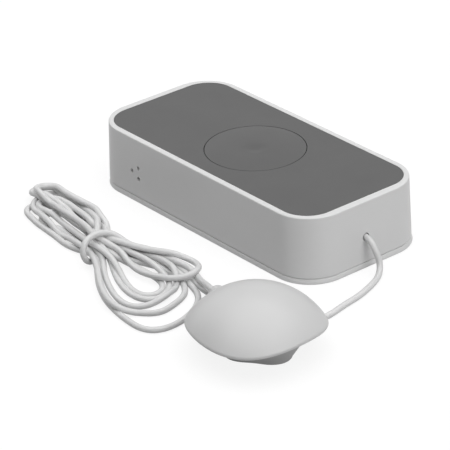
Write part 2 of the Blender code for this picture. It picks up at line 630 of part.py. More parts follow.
def make_sounder(material, pad_material):
    """Disc sounder pressed on a foam ring against the inside of the wall, over the three holes."""
    wall_inside = -shell_half(SOUND_Z, WALL)[1] / 2
    pad_front = wall_inside + PART_GAP
    body_front = pad_front + SOUND_PAD_DEPTH + PART_GAP
    pad = [(SOUND_PAD_HOLE, 0), (SOUNDER_RADIUS, 0), (SOUNDER_RADIUS, SOUND_PAD_DEPTH),
           (SOUND_PAD_HOLE, SOUND_PAD_DEPTH)]
    turned("sounder_pad", pad, pad_material, (SOUND_X, pad_front, SOUND_Z), (0, 1, 0), CELL_STEPS,
           ring=True)
    profile = [(0, SOUNDER_PORT), (SOUNDER_PORT, SOUNDER_PORT), (SOUNDER_PORT, 0),
               (SOUNDER_RADIUS - SOUNDER_EDGE, 0), (SOUNDER_RADIUS, SOUNDER_EDGE),
               (SOUNDER_RADIUS, SOUNDER_DEPTH), (0, SOUNDER_DEPTH)]
    turned("sounder", profile, material, (SOUND_X, body_front, SOUND_Z), (0, 1, 0), CELL_STEPS)


def make_cable_entry(collar_material, cable_material):
    """Collar on the cable behind the wall, and the cable's tail to its connector on the board."""
    wall_inside = shell_half(CABLE_Z, WALL)[0] / 2
    bore = CABLE_RADIUS + PART_GAP
    profile = [(bore, 0), (COLLAR_RADIUS, 0), (COLLAR_RADIUS, COLLAR_LENGTH), (bore, COLLAR_LENGTH)]
    turned("cable_collar", profile, collar_material, (wall_inside - PART_GAP, CABLE_Y, CABLE_Z),
           (-1, 0, 0), SMALL_STEPS, ring=True)
    end_face = BOX_LENGTH / 2
    lead_end = end_face + BOX_LEAD_ROUTE[0][0] * MM - 3 * PART_GAP
    collar_end = wall_inside - PART_GAP - COLLAR_LENGTH
    tail_end = BOARD_END + PART_GAP
    tail_z = ON_BOARD + CABLE_RADIUS + PART_GAP
    route = [(lead_end, CABLE_Z), (collar_end - MM, CABLE_Z), (tail_end + 2 * MM, tail_z),
             (tail_end, tail_z)]
    route = [((x - end_face) / MM, CABLE_Y / MM, z / MM) for x, z in route]
    cable_tube("inner_lead", smooth_route(route, CABLE_STEP / 3), cable_material)


def lobed(radius, lobe, lobe_angle, angle):
    """Radius of a circle swollen into three soft corners."""
    return radius + lobe * math.cos(3 * (angle - lobe_angle))


def edge_radius(angle):
    return lobed(EDGE_RADIUS, EDGE_LOBE, EDGE_LOBE_ANGLE, angle)


def dome_point(angle, share, offset, lip_angle=None):
    """A point of the dome's wall: offset from the wall's middle, or on the round lip at its edge."""
    mid_radius = DOME_RADIUS - DOME_WALL / 2
    reach = share * (edge_radius(angle) - DOME_WALL / 2)
    x = EDGE_SHIFT[0] + reach * math.cos(angle)
    y = EDGE_SHIFT[1] + reach * math.sin(angle)
    flat = math.hypot(x, y)
    normal = Vector((x, y, math.sqrt(mid_radius ** 2 - flat ** 2))) / mid_radius
    middle = normal * mid_radius
    if lip_angle is None:
        point = middle + normal * offset
    else:
        out = Vector((math.cos(angle), math.sin(angle), 0.0))
        down = (out - normal * out.dot(normal)).normalized()
        point = middle + (normal * math.cos(lip_angle) + down * math.sin(lip_angle)) * DOME_WALL / 2
    return (PROBE_X + point.x, PROBE_Y + point.y, DOME_CENTRE_Z + point.z)


def dome_ring(share, offset=0.0, lip_angle=None):
    turns = [2 * math.pi * i / DOME_STEPS for i in range(DOME_STEPS)]
    return [dome_point(turn, share, offset, lip_angle) for turn in turns]


def make_probe_dome(material, guide):
    """Thin domed cover with a half-round edge and a boss that the cable leaves through."""
    shares = (0.15, 0.35, 0.52, 0.67, 0.8, 0.91, 1.0)
    rings = [dome_ring(share, DOME_WALL / 2) for share in shares]
    rings += [dome_ring(1.0, lip_angle=math.radians(angle)) for angle in (30, 60, 90, 120, 150)]
    rings += [dome_ring(share, -DOME_WALL / 2) for share in reversed(shares)]
    dome = loft("probe_dome", rings, material)
    out = Vector((math.cos(CABLE_ANGLE), math.sin(CABLE_ANGLE), 0.0))
    start = Vector((*EDGE_CENTRE, BOSS_Z)) + out * BOSS_START
    length = BOSS_REACH - BOSS_START
    nose = BOSS_RADIUS - BOSS_NOSE_RADIUS
    profile = [(0, 0), (BOSS_RADIUS, 0), (BOSS_RADIUS, length - BOSS_NOSE_LENGTH)]
    for angle in (30.0, 60.0, 90.0):
        turn = math.radians(angle)
        profile.append((BOSS_RADIUS - nose * (1 - math.cos(turn)),
                        length - BOSS_NOSE_LENGTH * (1 - math.sin(turn))))
    profile.append((0, length))
    boolean(dome, turned("guide_boss", profile, guide, start, out, 20), "UNION")
    bore = cylinder_guide("guide_boss_bore", BOSS_BORE_RADIUS, start - out * MM, out, length + 2 * MM,
                          guide)
    boolean(dome, bore, "DIFFERENCE")
    return dome


def boss_slot(name, guide):
    """Slot that lets the boss through the pieces under the dome."""
    reach = EDGE_RADIUS - BOSS_START + PART_GAP
    middle = BOSS_START - PART_GAP + reach / 2
    centre = (EDGE_CENTRE[0] + middle * math.cos(CABLE_ANGLE),
              EDGE_CENTRE[1] + middle * math.sin(CABLE_ANGLE), BOSS_Z)
    size = (reach, 2 * (BOSS_RADIUS + PART_GAP), 4 * BOSS_RADIUS)
    return block(name, size, centre, guide, turn=CABLE_ANGLE)


def lobed_ring(centre, radius, lobe, lobe_angle, z):
    points = []
    for i in range(DOME_STEPS):
        angle = 2 * math.pi * i / DOME_STEPS
        reach = lobed(radius, lobe, lobe_angle, angle)
        points.append((centre[0] + reach * math.cos(angle), centre[1] + reach * math.sin(angle), z))
    return points


def make_probe_base(material, guide):
    """Bottom cover: a hollow tapered foot with three lobes, and a plate that closes the dome."""
    plate = (EDGE_CENTRE, EDGE_RADIUS - DOME_WALL - PLATE_CLEARANCE, EDGE_LOBE, EDGE_LOBE_ANGLE)
    rings = [lobed_ring(FOOT_CENTRE, FOOT_RADIUS - FOOT_WALL, FOOT_LOBE * FOOT_HOLLOW_SHARE,
                        FOOT_LOBE_ANGLE, FOOT_FLOOR),
             lobed_ring(FOOT_CENTRE, SHOULDER_RADIUS - FOOT_WALL, 0.0, FOOT_LOBE_ANGLE, PLATE_TOP),
             lobed_ring(*plate, PLATE_TOP), lobed_ring(*plate, SHOULDER_Z),
             lobed_ring(FOOT_CENTRE, SHOULDER_RADIUS, 0.0, FOOT_LOBE_ANGLE, SHOULDER_Z)]
    for angle in (0.0, 45.0, 90.0):
        turn = math.radians(angle)
        rings.append(lobed_ring(FOOT_CENTRE, FOOT_RADIUS - FOOT_ROUND * (1 - math.cos(turn)), FOOT_LOBE,
                                FOOT_LOBE_ANGLE, FOOT_ROUND * (1 - math.sin(turn))))
    base = loft("probe_base", rings, material)
    boolean(base, boss_slot("guide_plate_slot", guide), "DIFFERENCE")
    for number, (x, y) in enumerate(electrode_places(), 1):
        bore = cylinder_guide(f"guide_electrode_{number}", ELECTRODE_RADIUS + PART_GAP, (x, y, -MM),
                              (0, 0, 1), FOOT_FLOOR + 2 * MM, guide)
        boolean(base, bore, "DIFFERENCE")
    return base


def electrode_places():
    """One contact pin in each lobe of the foot."""
    turns = [FOOT_LOBE_ANGLE + 2 * math.pi * i / 3 for i in range(3)]
    return [(FOOT_CENTRE[0] + ELECTRODE_OFFSET * math.cos(turn),
             FOOT_CENTRE[1] + ELECTRODE_OFFSET * math.sin(turn)) for turn in turns]


def make_probe_inside(electrode_material, board_material, seal_material, guide):
    """Contact pins through the foot, the small board on their heads, and the seal under the dome."""
    ledge = FOOT_FLOOR + PART_GAP - ELECTRODE_LIFT
    tall = ledge + ELECTRODE_HEAD
    profile = [(0, 0), (ELECTRODE_RADIUS - ELECTRODE_CHAMFER, 0), (ELECTRODE_RADIUS, ELECTRODE_CHAMFER),
               (ELECTRODE_RADIUS, ledge),
               (ELECTRODE_HEAD_RADIUS, ledge), (ELECTRODE_HEAD_RADIUS, tall), (0, tall)]
    for number, (x, y) in enumerate(electrode_places(), 1):
        turned(f"electrode_{number}", profile, electrode_material, (x, y, ELECTRODE_LIFT),
               steps=SMALL_STEPS)
    board_z = ELECTRODE_LIFT + tall + PART_GAP
    turned("probe_board", [(0, 0), (PROBE_BOARD_RADIUS, 0), (PROBE_BOARD_RADIUS, PROBE_BOARD_THICKNESS),
                           (0, PROBE_BOARD_THICKNESS)], board_material, (*FOOT_CENTRE, board_z))
    edge = EDGE_RADIUS - DOME_WALL / 2
    outer = (EDGE_RADIUS - DOME_WALL - PLATE_CLEARANCE - SEAL_INSET) / edge
    inner = outer - SEAL_WIDTH / edge
    rings = []
    for share, on_plate in ((outer, True), (outer, False), (inner, False), (inner, True)):
        points = dome_ring(share, -DOME_WALL / 2 - PART_GAP)
        if on_plate:
            points = [(x, y, PLATE_TOP + PART_GAP) for x, y, z in points]
        rings.append(points)
    seal = loft("probe_seal", rings, seal_material, closed=True)
    boolean(seal, boss_slot("guide_seal_slot", guide), "DIFFERENCE")


def make_cable(material):
    """The loose stretches as tubes, and the tied hank as one plain body."""
    cable_tube("box_lead", smooth_route(BOX_LEAD_ROUTE, CABLE_STEP), material)
    cable_tube("probe_lead", smooth_route(PROBE_LEAD_ROUTE, CABLE_STEP), material)
    flat = smooth_route([(x, y, 0.0) for x, y in HANK_OUTLINE + HANK_OUTLINE[:1]], CABLE_STEP)[:-1]
    centre = sum(flat, Vector()) / len(flat)

    def ring(z, inset):
        points = []
        for point in flat:
            inward = (centre - point).normalized() * inset
            points.append((point.x + inward.x, point.y + inward.y, z))
        return points

    rings = [ring(0.0, 0.0), ring(HANK_HEIGHT - HANK_EDGE, 0.0), ring(HANK_HEIGHT, HANK_EDGE)]
    loft("cable_hank", rings, material)


def build():
    clear_scene()
    guide = make_material("guide", (0.8, 0.3, 0.3), 0.5)
    white = make_material("white_abs", (0.62, 0.62, 0.62), 0.42)
    grey = make_material("grey_panel_plastic", (0.155, 0.155, 0.155), 0.5)
    probe_white = make_material("white_probe_abs", (0.58, 0.58, 0.58), 0.4)
    probe_grey = make_material("grey_foot_rubber", (0.2, 0.2, 0.2), 0.6)
    cable = make_material("cable_pvc", (0.66, 0.66, 0.66), 0.45)
    board_green = make_material("circuit_board", (0.03, 0.16, 0.07), 0.5)
    nylon = make_material("nylon", (0.75, 0.74, 0.7), 0.5)
    steel = make_material("zinc_plated_steel", (0.6, 0.6, 0.6), 0.3, 1.0)
    black = make_material("black_resin", (0.02, 0.02, 0.02), 0.45)
    cell = make_material("cell_sleeve", (0.06, 0.1, 0.22), 0.35)
    nickel = make_material("nickel_plate", (0.66, 0.63, 0.58), 0.3, 1.0)
    tin = make_material("tinned_shield", (0.7, 0.7, 0.7), 0.35, 1.0)
    foam = make_material("black_foam", (0.03, 0.03, 0.03), 0.9)
    silicone = make_material("silicone", (0.45, 0.45, 0.45), 0.6)

    make_base_plate(white, guide)
    make_top_shell(white, guide)
    make_top_panel(grey)
    make_push_button(grey)
    make_switch(black, nylon, guide)
    make_board(board_green, nylon, steel, guide)
    make_board_parts(tin, black, tin, nylon)
    for number, (x, y) in enumerate(post_places(), 1):
        make_screw(f"base_screw_{number}", (x, y, COUNTERBORE_DEPTH - PART_GAP / 2), (0, 0, 1),
                   BASE_SCREW_LENGTH, steel)
    make_battery_holder(black, cell, nickel)
    make_sounder(black, foam)
    make_cable_entry(nylon, cable)
    make_probe_dome(probe_white, guide)
    make_probe_base(probe_grey, guide)
    make_probe_inside(nickel, board_green, silicone, guide)
    make_cable(cable)


build()
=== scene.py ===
# %% [markdown]
# # A water leak sensor: battery box, push button, tied cable and floor probe
# The real object is a flat box of white ABS with a grey top panel and a large round button. A thin white
# cable leaves its end face, lies beside it as a tied hank, and ends in a domed probe on a small foot.
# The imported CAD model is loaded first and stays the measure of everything. Finer pieces then take the
# place of its visible solids, and what is hidden inside keeps its CAD shape and gets a finish.

# %% Load the frame
import math

import bmesh
import bpy
import numpy as np
from mathutils import Matrix, Vector


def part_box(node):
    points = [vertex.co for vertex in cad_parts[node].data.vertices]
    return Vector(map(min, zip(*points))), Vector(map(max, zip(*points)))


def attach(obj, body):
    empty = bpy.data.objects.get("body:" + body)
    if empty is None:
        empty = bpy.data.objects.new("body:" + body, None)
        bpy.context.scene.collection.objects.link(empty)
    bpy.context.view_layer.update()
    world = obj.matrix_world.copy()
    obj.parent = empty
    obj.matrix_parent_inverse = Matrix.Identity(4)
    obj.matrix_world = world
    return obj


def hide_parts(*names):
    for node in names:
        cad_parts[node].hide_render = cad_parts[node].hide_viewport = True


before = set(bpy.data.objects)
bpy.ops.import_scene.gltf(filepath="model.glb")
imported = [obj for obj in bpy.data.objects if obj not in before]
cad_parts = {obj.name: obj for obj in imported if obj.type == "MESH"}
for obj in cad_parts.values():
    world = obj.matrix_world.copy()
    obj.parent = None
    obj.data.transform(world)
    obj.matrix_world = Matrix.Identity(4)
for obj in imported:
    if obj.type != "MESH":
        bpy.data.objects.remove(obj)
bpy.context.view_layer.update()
MM = 0.001

# %% [markdown]
# ## Camera
# The photograph was taken from far off with a long lens, which keeps the box's long edges almost parallel.
# The camera's place and directions were worked out from the outline of the box and the probe.

# %% Camera
camera_data = bpy.data.cameras.new("camera")
camera_data.sensor_width = 36.0
camera_data.lens = 219.8
camera_data.clip_start = 0.05
camera_data.clip_end = 20.0
camera = bpy.data.objects.new("camera", camera_data)
bpy.context.scene.collection.objects.link(camera)
CAMERA_PLACE = Vector((0.76533, -0.62913, 0.50846))
CAMERA_RIGHT = Vector((0.6372, 0.7700, -0.0320)).normalized()
CAMERA_BACK = Vector((0.6928, -0.5541, 0.4616)).normalized()
CAMERA_UP = CAMERA_BACK.cross(CAMERA_RIGHT)
camera.matrix_world = Matrix((
    (CAMERA_RIGHT.x, CAMERA_UP.x, CAMERA_BACK.x, CAMERA_PLACE.x),
    (CAMERA_RIGHT.y, CAMERA_UP.y, CAMERA_BACK.y, CAMERA_PLACE.y),
    (CAMERA_RIGHT.z, CAMERA_UP.z, CAMERA_BACK.z, CAMERA_PLACE.z),
    (0, 0, 0, 1)))
bpy.context.scene.camera = camera
print("camera distance:", round(camera.location.length, 3), "m, lens", camera_data.lens, "mm")

# %% [markdown]
# ## Cable
# The real cable is a limp two-core lead, 2.5 mm thick. It leaves the box, drops to the ground and runs
# round the probe into a hank of seven turns. Its own end is wound once round the hank's waist and goes to
# the probe. One smooth line through a table of points gives the whole cable, because a
# simulated one wouldn't lie as the photographed one does. The points are in millimetres, and the loose
# stretches follow the route of the CAD model to within about 2 mm.

# %% Points of the loose stretches
CABLE_DIAMETER = 2.5 * MM
END_FACE = 67.5
BOX_LEAD = [
    (-0.9, -1.0, 13.2), (0.9, -1.1, 12.9), (3.2, -1.3, 11.6), (5.1, -1.2, 9.0), (6.3, -0.7, 5.7),
    (7.6, -1.4, 2.9), (10.4, -5.1, 1.4), (13.4, -11.2, 1.3), (16.3, -19.8, 1.3), (18.1, -29.6, 1.3),
    (19.8, -38.1, 1.3), (19.5, -44.4, 1.3), (14.7, -48.8, 1.3), (6.0, -50.6, 1.3), (-4.0, -52.7, 1.3),
    (-13.5, -57.2, 1.3), (-22.0, -60.5, 1.3), (-27.2, -60.5, 1.3), (-31.9, -59.6, 1.3),
]
PROBE_LEAD = [
    (-31.8, -59.7, 4.1), (-28.3, -61.0, 5.0), (-22.7, -63.6, 7.0), (-16.7, -66.8, 9.6),
    (-12.7, -68.7, 10.9), (-10.1, -69.2, 11.0),
]
box_lead = [(END_FACE + x, y, z) for x, y, z in BOX_LEAD]
probe_lead = [(END_FACE + x, y, z) for x, y, z in PROBE_LEAD]
print(len(box_lead), "points from the box,", len(probe_lead), "to the probe")

# %% [markdown]
# The hank is a flat oval winding that its tie squeezes at the waist. Each left or right entry of the table
# is one loop on that side of the waist, and each waist entry is the place of one strand in the tied bundle.

# %% Points of the hank's turns
WAIST_X = -6.0
HANK = [
    ("right", [
        (28.0, -57.2, 1.3), (18.0, -56.2, 1.3), (8.0, -59.3, 1.4), (1.0, -64.2, 2.4),
    ]),
    ("waist", (-70.2, 4.1)),
    ("left", [
        (-14.8, -66.2, 2.6), (-26.6, -62.6, 1.3), (-41.3, -60.4, 1.3), (-55.0, -61.2, 1.3),
        (-62.4, -65.8, 1.3), (-59.8, -71.2, 1.3), (-51.1, -73.7, 1.3), (-44.0, -75.0, 1.3),
        (-33.4, -76.4, 1.6), (-22.4, -78.3, 2.6), (-13.8, -78.3, 3.6),
    ]),
    ("waist", (-78.0, 4.1)),
    ("right", [
        (2, -83, 3), (8.6, -87.5, 2.0), (18.8, -92.4, 1.3), (28.3, -95.0, 1.3),
        (40.6, -96.7, 1.3), (49.5, -95.7, 1.3), (52.9, -91.1, 1.3), (53.2, -83.2, 1.3),
        (51, -76, 1.3), (46.5, -69, 1.3), (41, -64.3, 1.3), (34, -62.2, 1.3),
        (26, -59.8, 1.3), (16, -58.9, 1.3), (6, -62.3, 1.5), (0, -67.2, 2.9),
    ]),
    ("waist", (-72.8, 4.1)),
    ("left", [
        (-13.8, -68.5, 4.1), (-26.6, -63.0, 3.9), (-41.3, -60.4, 3.8), (-55.0, -61.2, 3.8),
        (-61.2, -64.8, 3.8), (-58.9, -68.5, 3.8), (-53.4, -71.0, 3.8), (-42.8, -73.3, 4.0),
        (-27.8, -76.7, 5.0), (-13.8, -79.0, 6.3),
    ]),
    ("waist", (-79.3, 6.5)),
    ("right", [
        (2.8, -83.6, 5.4), (15.3, -91.0, 4.0), (26.0, -94.8, 3.8), (34.8, -95.2, 3.8),
        (40.6, -92.3, 3.8), (43.4, -87.2, 3.0), (42.2, -79.6, 2.0), (39, -71, 1.3),
        (35, -66, 1.3), (27, -62.5, 1.3), (16, -61.6, 1.3), (6, -65, 2.0),
    ]),
    ("waist", (-75.4, 4.1)),
    ("left", [
        (-15.8, -71.0, 3.6), (-27.6, -65.6, 1.6), (-39.3, -63.2, 1.3), (-48.0, -63.2, 1.3),
        (-52.6, -67.0, 1.3), (-47.4, -70.9, 1.3), (-32.5, -73.6, 2.4), (-18.4, -75.2, 4.8),
    ]),
    ("waist", (-76.7, 6.5)),
    ("right", [
        (2.4, -81.2, 6.3), (13.0, -87.0, 4.6), (23.6, -91.0, 3.6), (32.6, -92.0, 3.6),
        (37.6, -89.4, 3.8), (38.0, -82.6, 3.8), (35.0, -73.8, 3.8), (31.7, -67.6, 3.8),
        (27.0, -63.8, 3.8), (20.5, -61.2, 3.8), (12.4, -59.9, 4.0), (5.4, -62.5, 4.6),
        (0, -67.5, 5.5),
    ]),
    ("waist", (-71.5, 6.5)),
    ("left", [
        (-15.8, -67.1, 6.4), (-27.6, -63.0, 6.1), (-41.3, -60.8, 5.8), (-52.0, -60.8, 5.0),
        (-57.6, -63.4, 4.8), (-57.2, -66.9, 5.4), (-51.0, -69.6, 6.0), (-36.8, -72.4, 6.4),
        (-22.1, -75.2, 7.6),
    ]),
    ("waist", (-78.2, 8.9)),
    ("right", [
        (2, -77, 8), (8.4, -78.6, 5.6), (15.0, -80.8, 3.4), (22.6, -82.2, 1.8),
        (28.6, -80.6, 1.3), (30.6, -75.8, 1.3), (27.6, -70.6, 1.3), (21, -68.0, 1.3),
        (10, -69, 2.0), (2, -72, 4.4),
    ]),
    ("waist", (-74.1, 6.5)),
    ("left", [
        (-17.2, -68.2, 8.4), (-26.7, -61.2, 7.4), (-38.2, -56.7, 6.4), (-47.2, -56.5, 5.4),
        (-53.6, -56.5, 4.6), (-60.1, -56.1, 4.0), (-64.2, -58.5, 4.0), (-59.9, -61.0, 4.6),
        (-47.8, -63.1, 5.8), (-34.9, -66.4, 6.6), (-23.3, -69.3, 7.4),
    ]),
    ("waist", (-75.6, 8.9)),
    ("right", [
        (1.2, -77.4, 8.0), (8.4, -80.4, 6.0), (16.8, -83.6, 4.0), (25.0, -85.0, 2.8),
        (31.2, -83.2, 2.0), (34.6, -78.4, 1.5), (33.4, -72.6, 1.4), (28.6, -67.8, 1.6),
        (20.9, -64.9, 2.2), (14.5, -63.8, 3.0), (7.5, -64.8, 4.2), (1, -68.5, 6.6),
    ]),
    ("waist", (-70.4, 8.9)),
    ("left", [
        (-13.8, -66.7, 7.9), (-21.7, -61.7, 5.6), (-32.5, -57.2, 4.2), (-44.2, -54.9, 3.8),
        (-56.1, -55.2, 4.5), (-63.3, -57.0, 5.0), (-68.3, -60.1, 5.4), (-66.8, -64.0, 5.9),
        (-62.4, -64.9, 6.2), (-51.7, -67.0, 7.0), (-37.6, -69.7, 8.0), (-23.6, -72.4, 9.3),
    ]),
    ("waist", (-73.3, 11.2)),
    ("right", [
        (0.6, -68.9, 9.6), (7.9, -63.4, 7.6), (15.2, -58.3, 6.8), (24.6, -55.2, 6.6),
        (31.4, -55.9, 6.6), (35.4, -60.2, 6.6), (33.8, -66.6, 6.3), (28.1, -71.8, 6.0),
        (17.9, -75.1, 6.2), (9.1, -74.3, 7.6), (1.7, -73.5, 9.8),
    ]),
    ("waist", (-75.9, 11.2)),
    ("left", [
        (-15.8, -73.0, 11.0), (-27.3, -71.2, 10.5), (-40.7, -69.5, 9.5), (-53.0, -66.7, 8.5),
        (-61.5, -63.5, 7.8), (-65.6, -59.6, 7.2), (-64.0, -57.0, 6.7), (-57.9, -55.9, 6.2),
        (-46.5, -54.5, 5.6), (-34.5, -55.7, 5.0), (-21.6, -61.1, 4.8),
    ]),
    ("tie", [
        (-14.8, -64.6, 3.6), (-11, -68.4, 1.5), (-8.5, -74.0, 1.3), (-6.8, -79.8, 1.4),
        (-7.2, -82.4, 3.4), (-8.6, -82.2, 6.4), (-9.0, -80.2, 9.6), (-8.0, -77.4, 12.2),
        (-5.8, -74.4, 13.6), (-3.4, -71.2, 12.8), (-1.8, -68.2, 9.6), (0.4, -64.6, 6.2),
    ]),
    ("right", [
        (10.0, -59.0, 4.2), (20.0, -56.6, 3.9), (28.5, -57.0, 3.9),
    ]),
]
knots = list(box_lead)
for side, places in HANK:
    knots += [(WAIST_X, *places)] if side == "waist" else places
knots += probe_lead
print(len(knots), "hand-placed points on the whole cable")


# %% Smooth line through the points
def smooth_line(points, step):
    """Evenly spaced points on a soft curve that passes through the given ones."""
    p = np.array(points, float)
    p = np.vstack([2 * p[0] - p[1], p, 2 * p[-1] - p[-2]])
    t = np.linspace(0, 1, 24, endpoint=False)[:, None]
    parts = []
    for a, b, c, d in zip(p, p[1:], p[2:], p[3:]):
        parts.append(0.5 * (2 * b + (c - a) * t + (2 * a - 5 * b + 4 * c - d) * t ** 2
                            + (3 * b - a - 3 * c + d) * t ** 3))
    fine = np.vstack(parts + [p[-2:-1]])
    run = np.concatenate([[0], np.cumsum(np.linalg.norm(np.diff(fine, axis=0), axis=1))])
    even = np.linspace(0, run[-1], max(2, round(run[-1] / step)) + 1)
    return np.stack([np.interp(even, run, fine[:, k]) for k in range(3)], axis=1)


STEP = 2.5
line = smooth_line(knots, STEP)
print("cable line:", len(line), "points,", round(STEP * len(line)), "mm")

# %% [markdown]
# The listed strands pass through each other here and there. A short settling fixes this, as when a real
# cable is laid down: strands closer than their thickness push each other away, bends tighter than 5 mm open,
# and everything sinks until it lies on the ground or on another strand. A strand that sinks slides along
# the line of sight, so it stays where the photograph shows it. The loose stretches stay as they are, but for
# the few points next to the hank. The numbers say how strong each of these moves is in one round.

# %% Let the turns settle
THICK = CABLE_DIAMETER / MM
BEND = 5.0
SIGHT = np.array(CAMERA_BACK) / CAMERA_BACK.z
HOME_PULL, FAIRING, UNBEND = 0.04, 0.3, 0.01
SINK, SINKING_SHARE, ROUNDS = 0.03, 0.75, 160
PUSH, EVEN_OUT, PASSES, MARGIN = 0.2, 0.2, 4, 1.0


def settle(start, free):
    """Push strands apart, open sharp bends and let the cable sink, and keep the line fair."""
    p = start.copy()
    pairs = np.array(np.triu_indices(len(p), 2))
    along = (pairs[1] - pairs[0]) * STEP
    need = np.where(along <= 3 * BEND, 2 * BEND * np.sin(np.minimum(along / (2 * BEND), math.pi / 2)), THICK)
    for turn in range(ROUNDS):
        home = start + SIGHT * (p[:, 2:] - start[:, 2:])
        moved = p + HOME_PULL * (home - p) * (1, 1, 0)
        bow = (p[:-2] + p[2:]) / 2 - p[1:-1]
        moved[2:-2] -= FAIRING * ((bow[:-2] + bow[2:]) / 2 - bow[1:-1])
        moved[1:-1] += UNBEND * bow
        moved[:, 2] -= SINK if turn < ROUNDS * SINKING_SHARE else 0.0
        p = np.where(free[:, None], moved, p)
        gap = p[pairs[0]] - p[pairs[1]]
        close = np.einsum("ij,ij->i", gap, gap) < (need + MARGIN) ** 2
        (i, j), reach = pairs[:, close], need[close][:, None]
        for _ in range(PASSES):
            gap = p[i] - p[j]
            length = np.linalg.norm(gap, axis=1)[:, None] + 1e-6
            push = gap / length * np.maximum(reach - length, 0.0) * PUSH
            shift = np.zeros_like(p)
            np.add.at(shift, i, push)
            np.add.at(shift, j, -push)
            step = np.diff(p, axis=0)
            long = np.linalg.norm(step, axis=1)[:, None]
            pull = step / long * (long - long.mean()) * EVEN_OUT
            shift[:-1] += pull
            shift[1:] -= pull
            p = np.where(free[:, None], p + shift, p)
            p[:, 2] = np.maximum(p[:, 2], THICK / 2)
    return p


JOINED = 4
box_end = int(np.argmin(np.linalg.norm(line - np.array(box_lead[-1]), axis=1)))
probe_start = len(line) - 1 - int(np.argmin(np.linalg.norm(line[::-1] - np.array(probe_lead[0]), axis=1)))
loose = np.zeros(len(line), bool)
loose[box_end - JOINED:probe_start + JOINED] = True
settled = settle(line, loose)
print("settled, largest move:", round(float(np.linalg.norm(settled - line, axis=1).max()), 1), "mm")

# %% [markdown]
# A curve with a round bevel turns the line into a tube. It is then made a mesh, because the bounds of a
# bevelled curve come out too large.

# %% Cable piece
FINE_STEP = 1.25
cable_points = smooth_line(settled, FINE_STEP) * MM
cable_curve = bpy.data.curves.new("cable", "CURVE")
cable_curve.dimensions = "3D"
cable_curve.bevel_depth = CABLE_DIAMETER / 2
cable_curve.bevel_resolution = 4
cable_curve.use_fill_caps = True
spline = cable_curve.splines.new("POLY")
spline.points.add(len(cable_points) - 1)
spline.points.foreach_set("co", np.hstack([cable_points, np.ones((len(cable_points), 1))]).ravel())
spline.use_smooth = True
tube = bpy.data.objects.new("tube", cable_curve)
bpy.context.scene.collection.objects.link(tube)
cable_mesh = bpy.data.meshes.new_from_object(tube.evaluated_get(bpy.context.evaluated_depsgraph_get()))
bpy.data.objects.remove(tube)
cable = bpy.data.objects.new("cable", cable_mesh)
bpy.context.scene.collection.objects.link(cable)
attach(cable, "sensor")
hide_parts("box_lead", "cable_hank", "probe_lead")

# %% [markdown]
# ## Finishes
# Each finish is a small tree of nodes for what the real one is. Patterns read Object coordinates, which
# are in metres here, so the scale of a pattern is one over its size in metres. The finest grain of moulded
# plastic is about 0.1 mm, too fine to show here, so it is drawn about 0.7 mm coarse.


# %% Colours and nodes
def linear(code):
    """An sRGB hex colour as linear red, green, blue and alpha."""
    parts = [int(code[i:i + 2], 16) / 255 for i in (1, 3, 5)]
    return (*[c / 12.92 if c <= 0.04045 else ((c + 0.055) / 1.055) ** 2.4 for c in parts], 1.0)


def add(tree, kind, settings=None, links=None):
    """Adds a node, sets its own settings or its sockets by name, and links outputs to its sockets."""
    node = tree.nodes.new(kind)
    for name, value in (settings or {}).items():
        if isinstance(name, str) and hasattr(node, name):
            setattr(node, name, value)
        else:
            node.inputs[name].default_value = value
    for name, output in (links or {}).items():
        tree.links.new(output, node.inputs[name])
    return node


def start_material(name):
    """A new material with an empty tree that ends in a Principled shader."""
    made = bpy.data.materials.new(name)
    made.use_nodes = True
    made.node_tree.nodes.clear()
    shader = add(made.node_tree, "ShaderNodeBsdfPrincipled")
    add(made.node_tree, "ShaderNodeOutputMaterial", links={"Surface": shader.outputs["BSDF"]})
    return made, made.node_tree, shader


# %% [markdown]
# Moulded plastic has a faint unevenness of tone over some centimetres, a gloss that varies with it, and a
# fine grain from the spark-worn mould. Rubber and cable sheath differ only in the numbers. ABS makes the
# box a clean satin white and the panel a matte grey, and soft TPE makes the foot a dull grey. PVC gives the
# cable a slight gloss, nylon is creamy, epoxy resin is black and satin, foam is black and rough, and
# silicone is a cloudy grey.

# %% Moulded plastic and rubber
GRAIN = 0.7 * MM


def moulded(name, code, dark_code, rough, cloud, grain=GRAIN, depth=0.02 * MM, ior=1.5):
    """Plastic or rubber with clouds of tone and gloss, and the grain of its mould."""
    made, tree, shader = start_material(name)
    place = add(tree, "ShaderNodeTexCoord").outputs["Object"]
    clouds = add(tree, "ShaderNodeTexNoise", {"Scale": 1 / cloud, "Detail": 3.0, "Roughness": 0.55},
                 {"Vector": place})
    tone = add(tree, "ShaderNodeMix", {"data_type": "RGBA", 6: linear(dark_code), 7: linear(code)},
               {0: clouds.outputs["Fac"]})
    gloss = add(tree, "ShaderNodeMapRange", {"From Min": 0.3, "From Max": 0.7, "To Min": rough - 0.05,
                                             "To Max": rough + 0.05}, {"Value": clouds.outputs["Fac"]})
    pits = add(tree, "ShaderNodeTexNoise", {"Scale": 1 / grain, "Detail": 2.0, "Roughness": 0.6},
               {"Vector": place})
    bump = add(tree, "ShaderNodeBump", {"Strength": 0.5, "Distance": depth}, {"Height": pits.outputs["Fac"]})
    shader.inputs["IOR"].default_value = ior
    tree.links.new(tone.outputs[2], shader.inputs["Base Color"])
    tree.links.new(gloss.outputs["Result"], shader.inputs["Roughness"])
    tree.links.new(bump.outputs["Normal"], shader.inputs["Normal"])
    return made


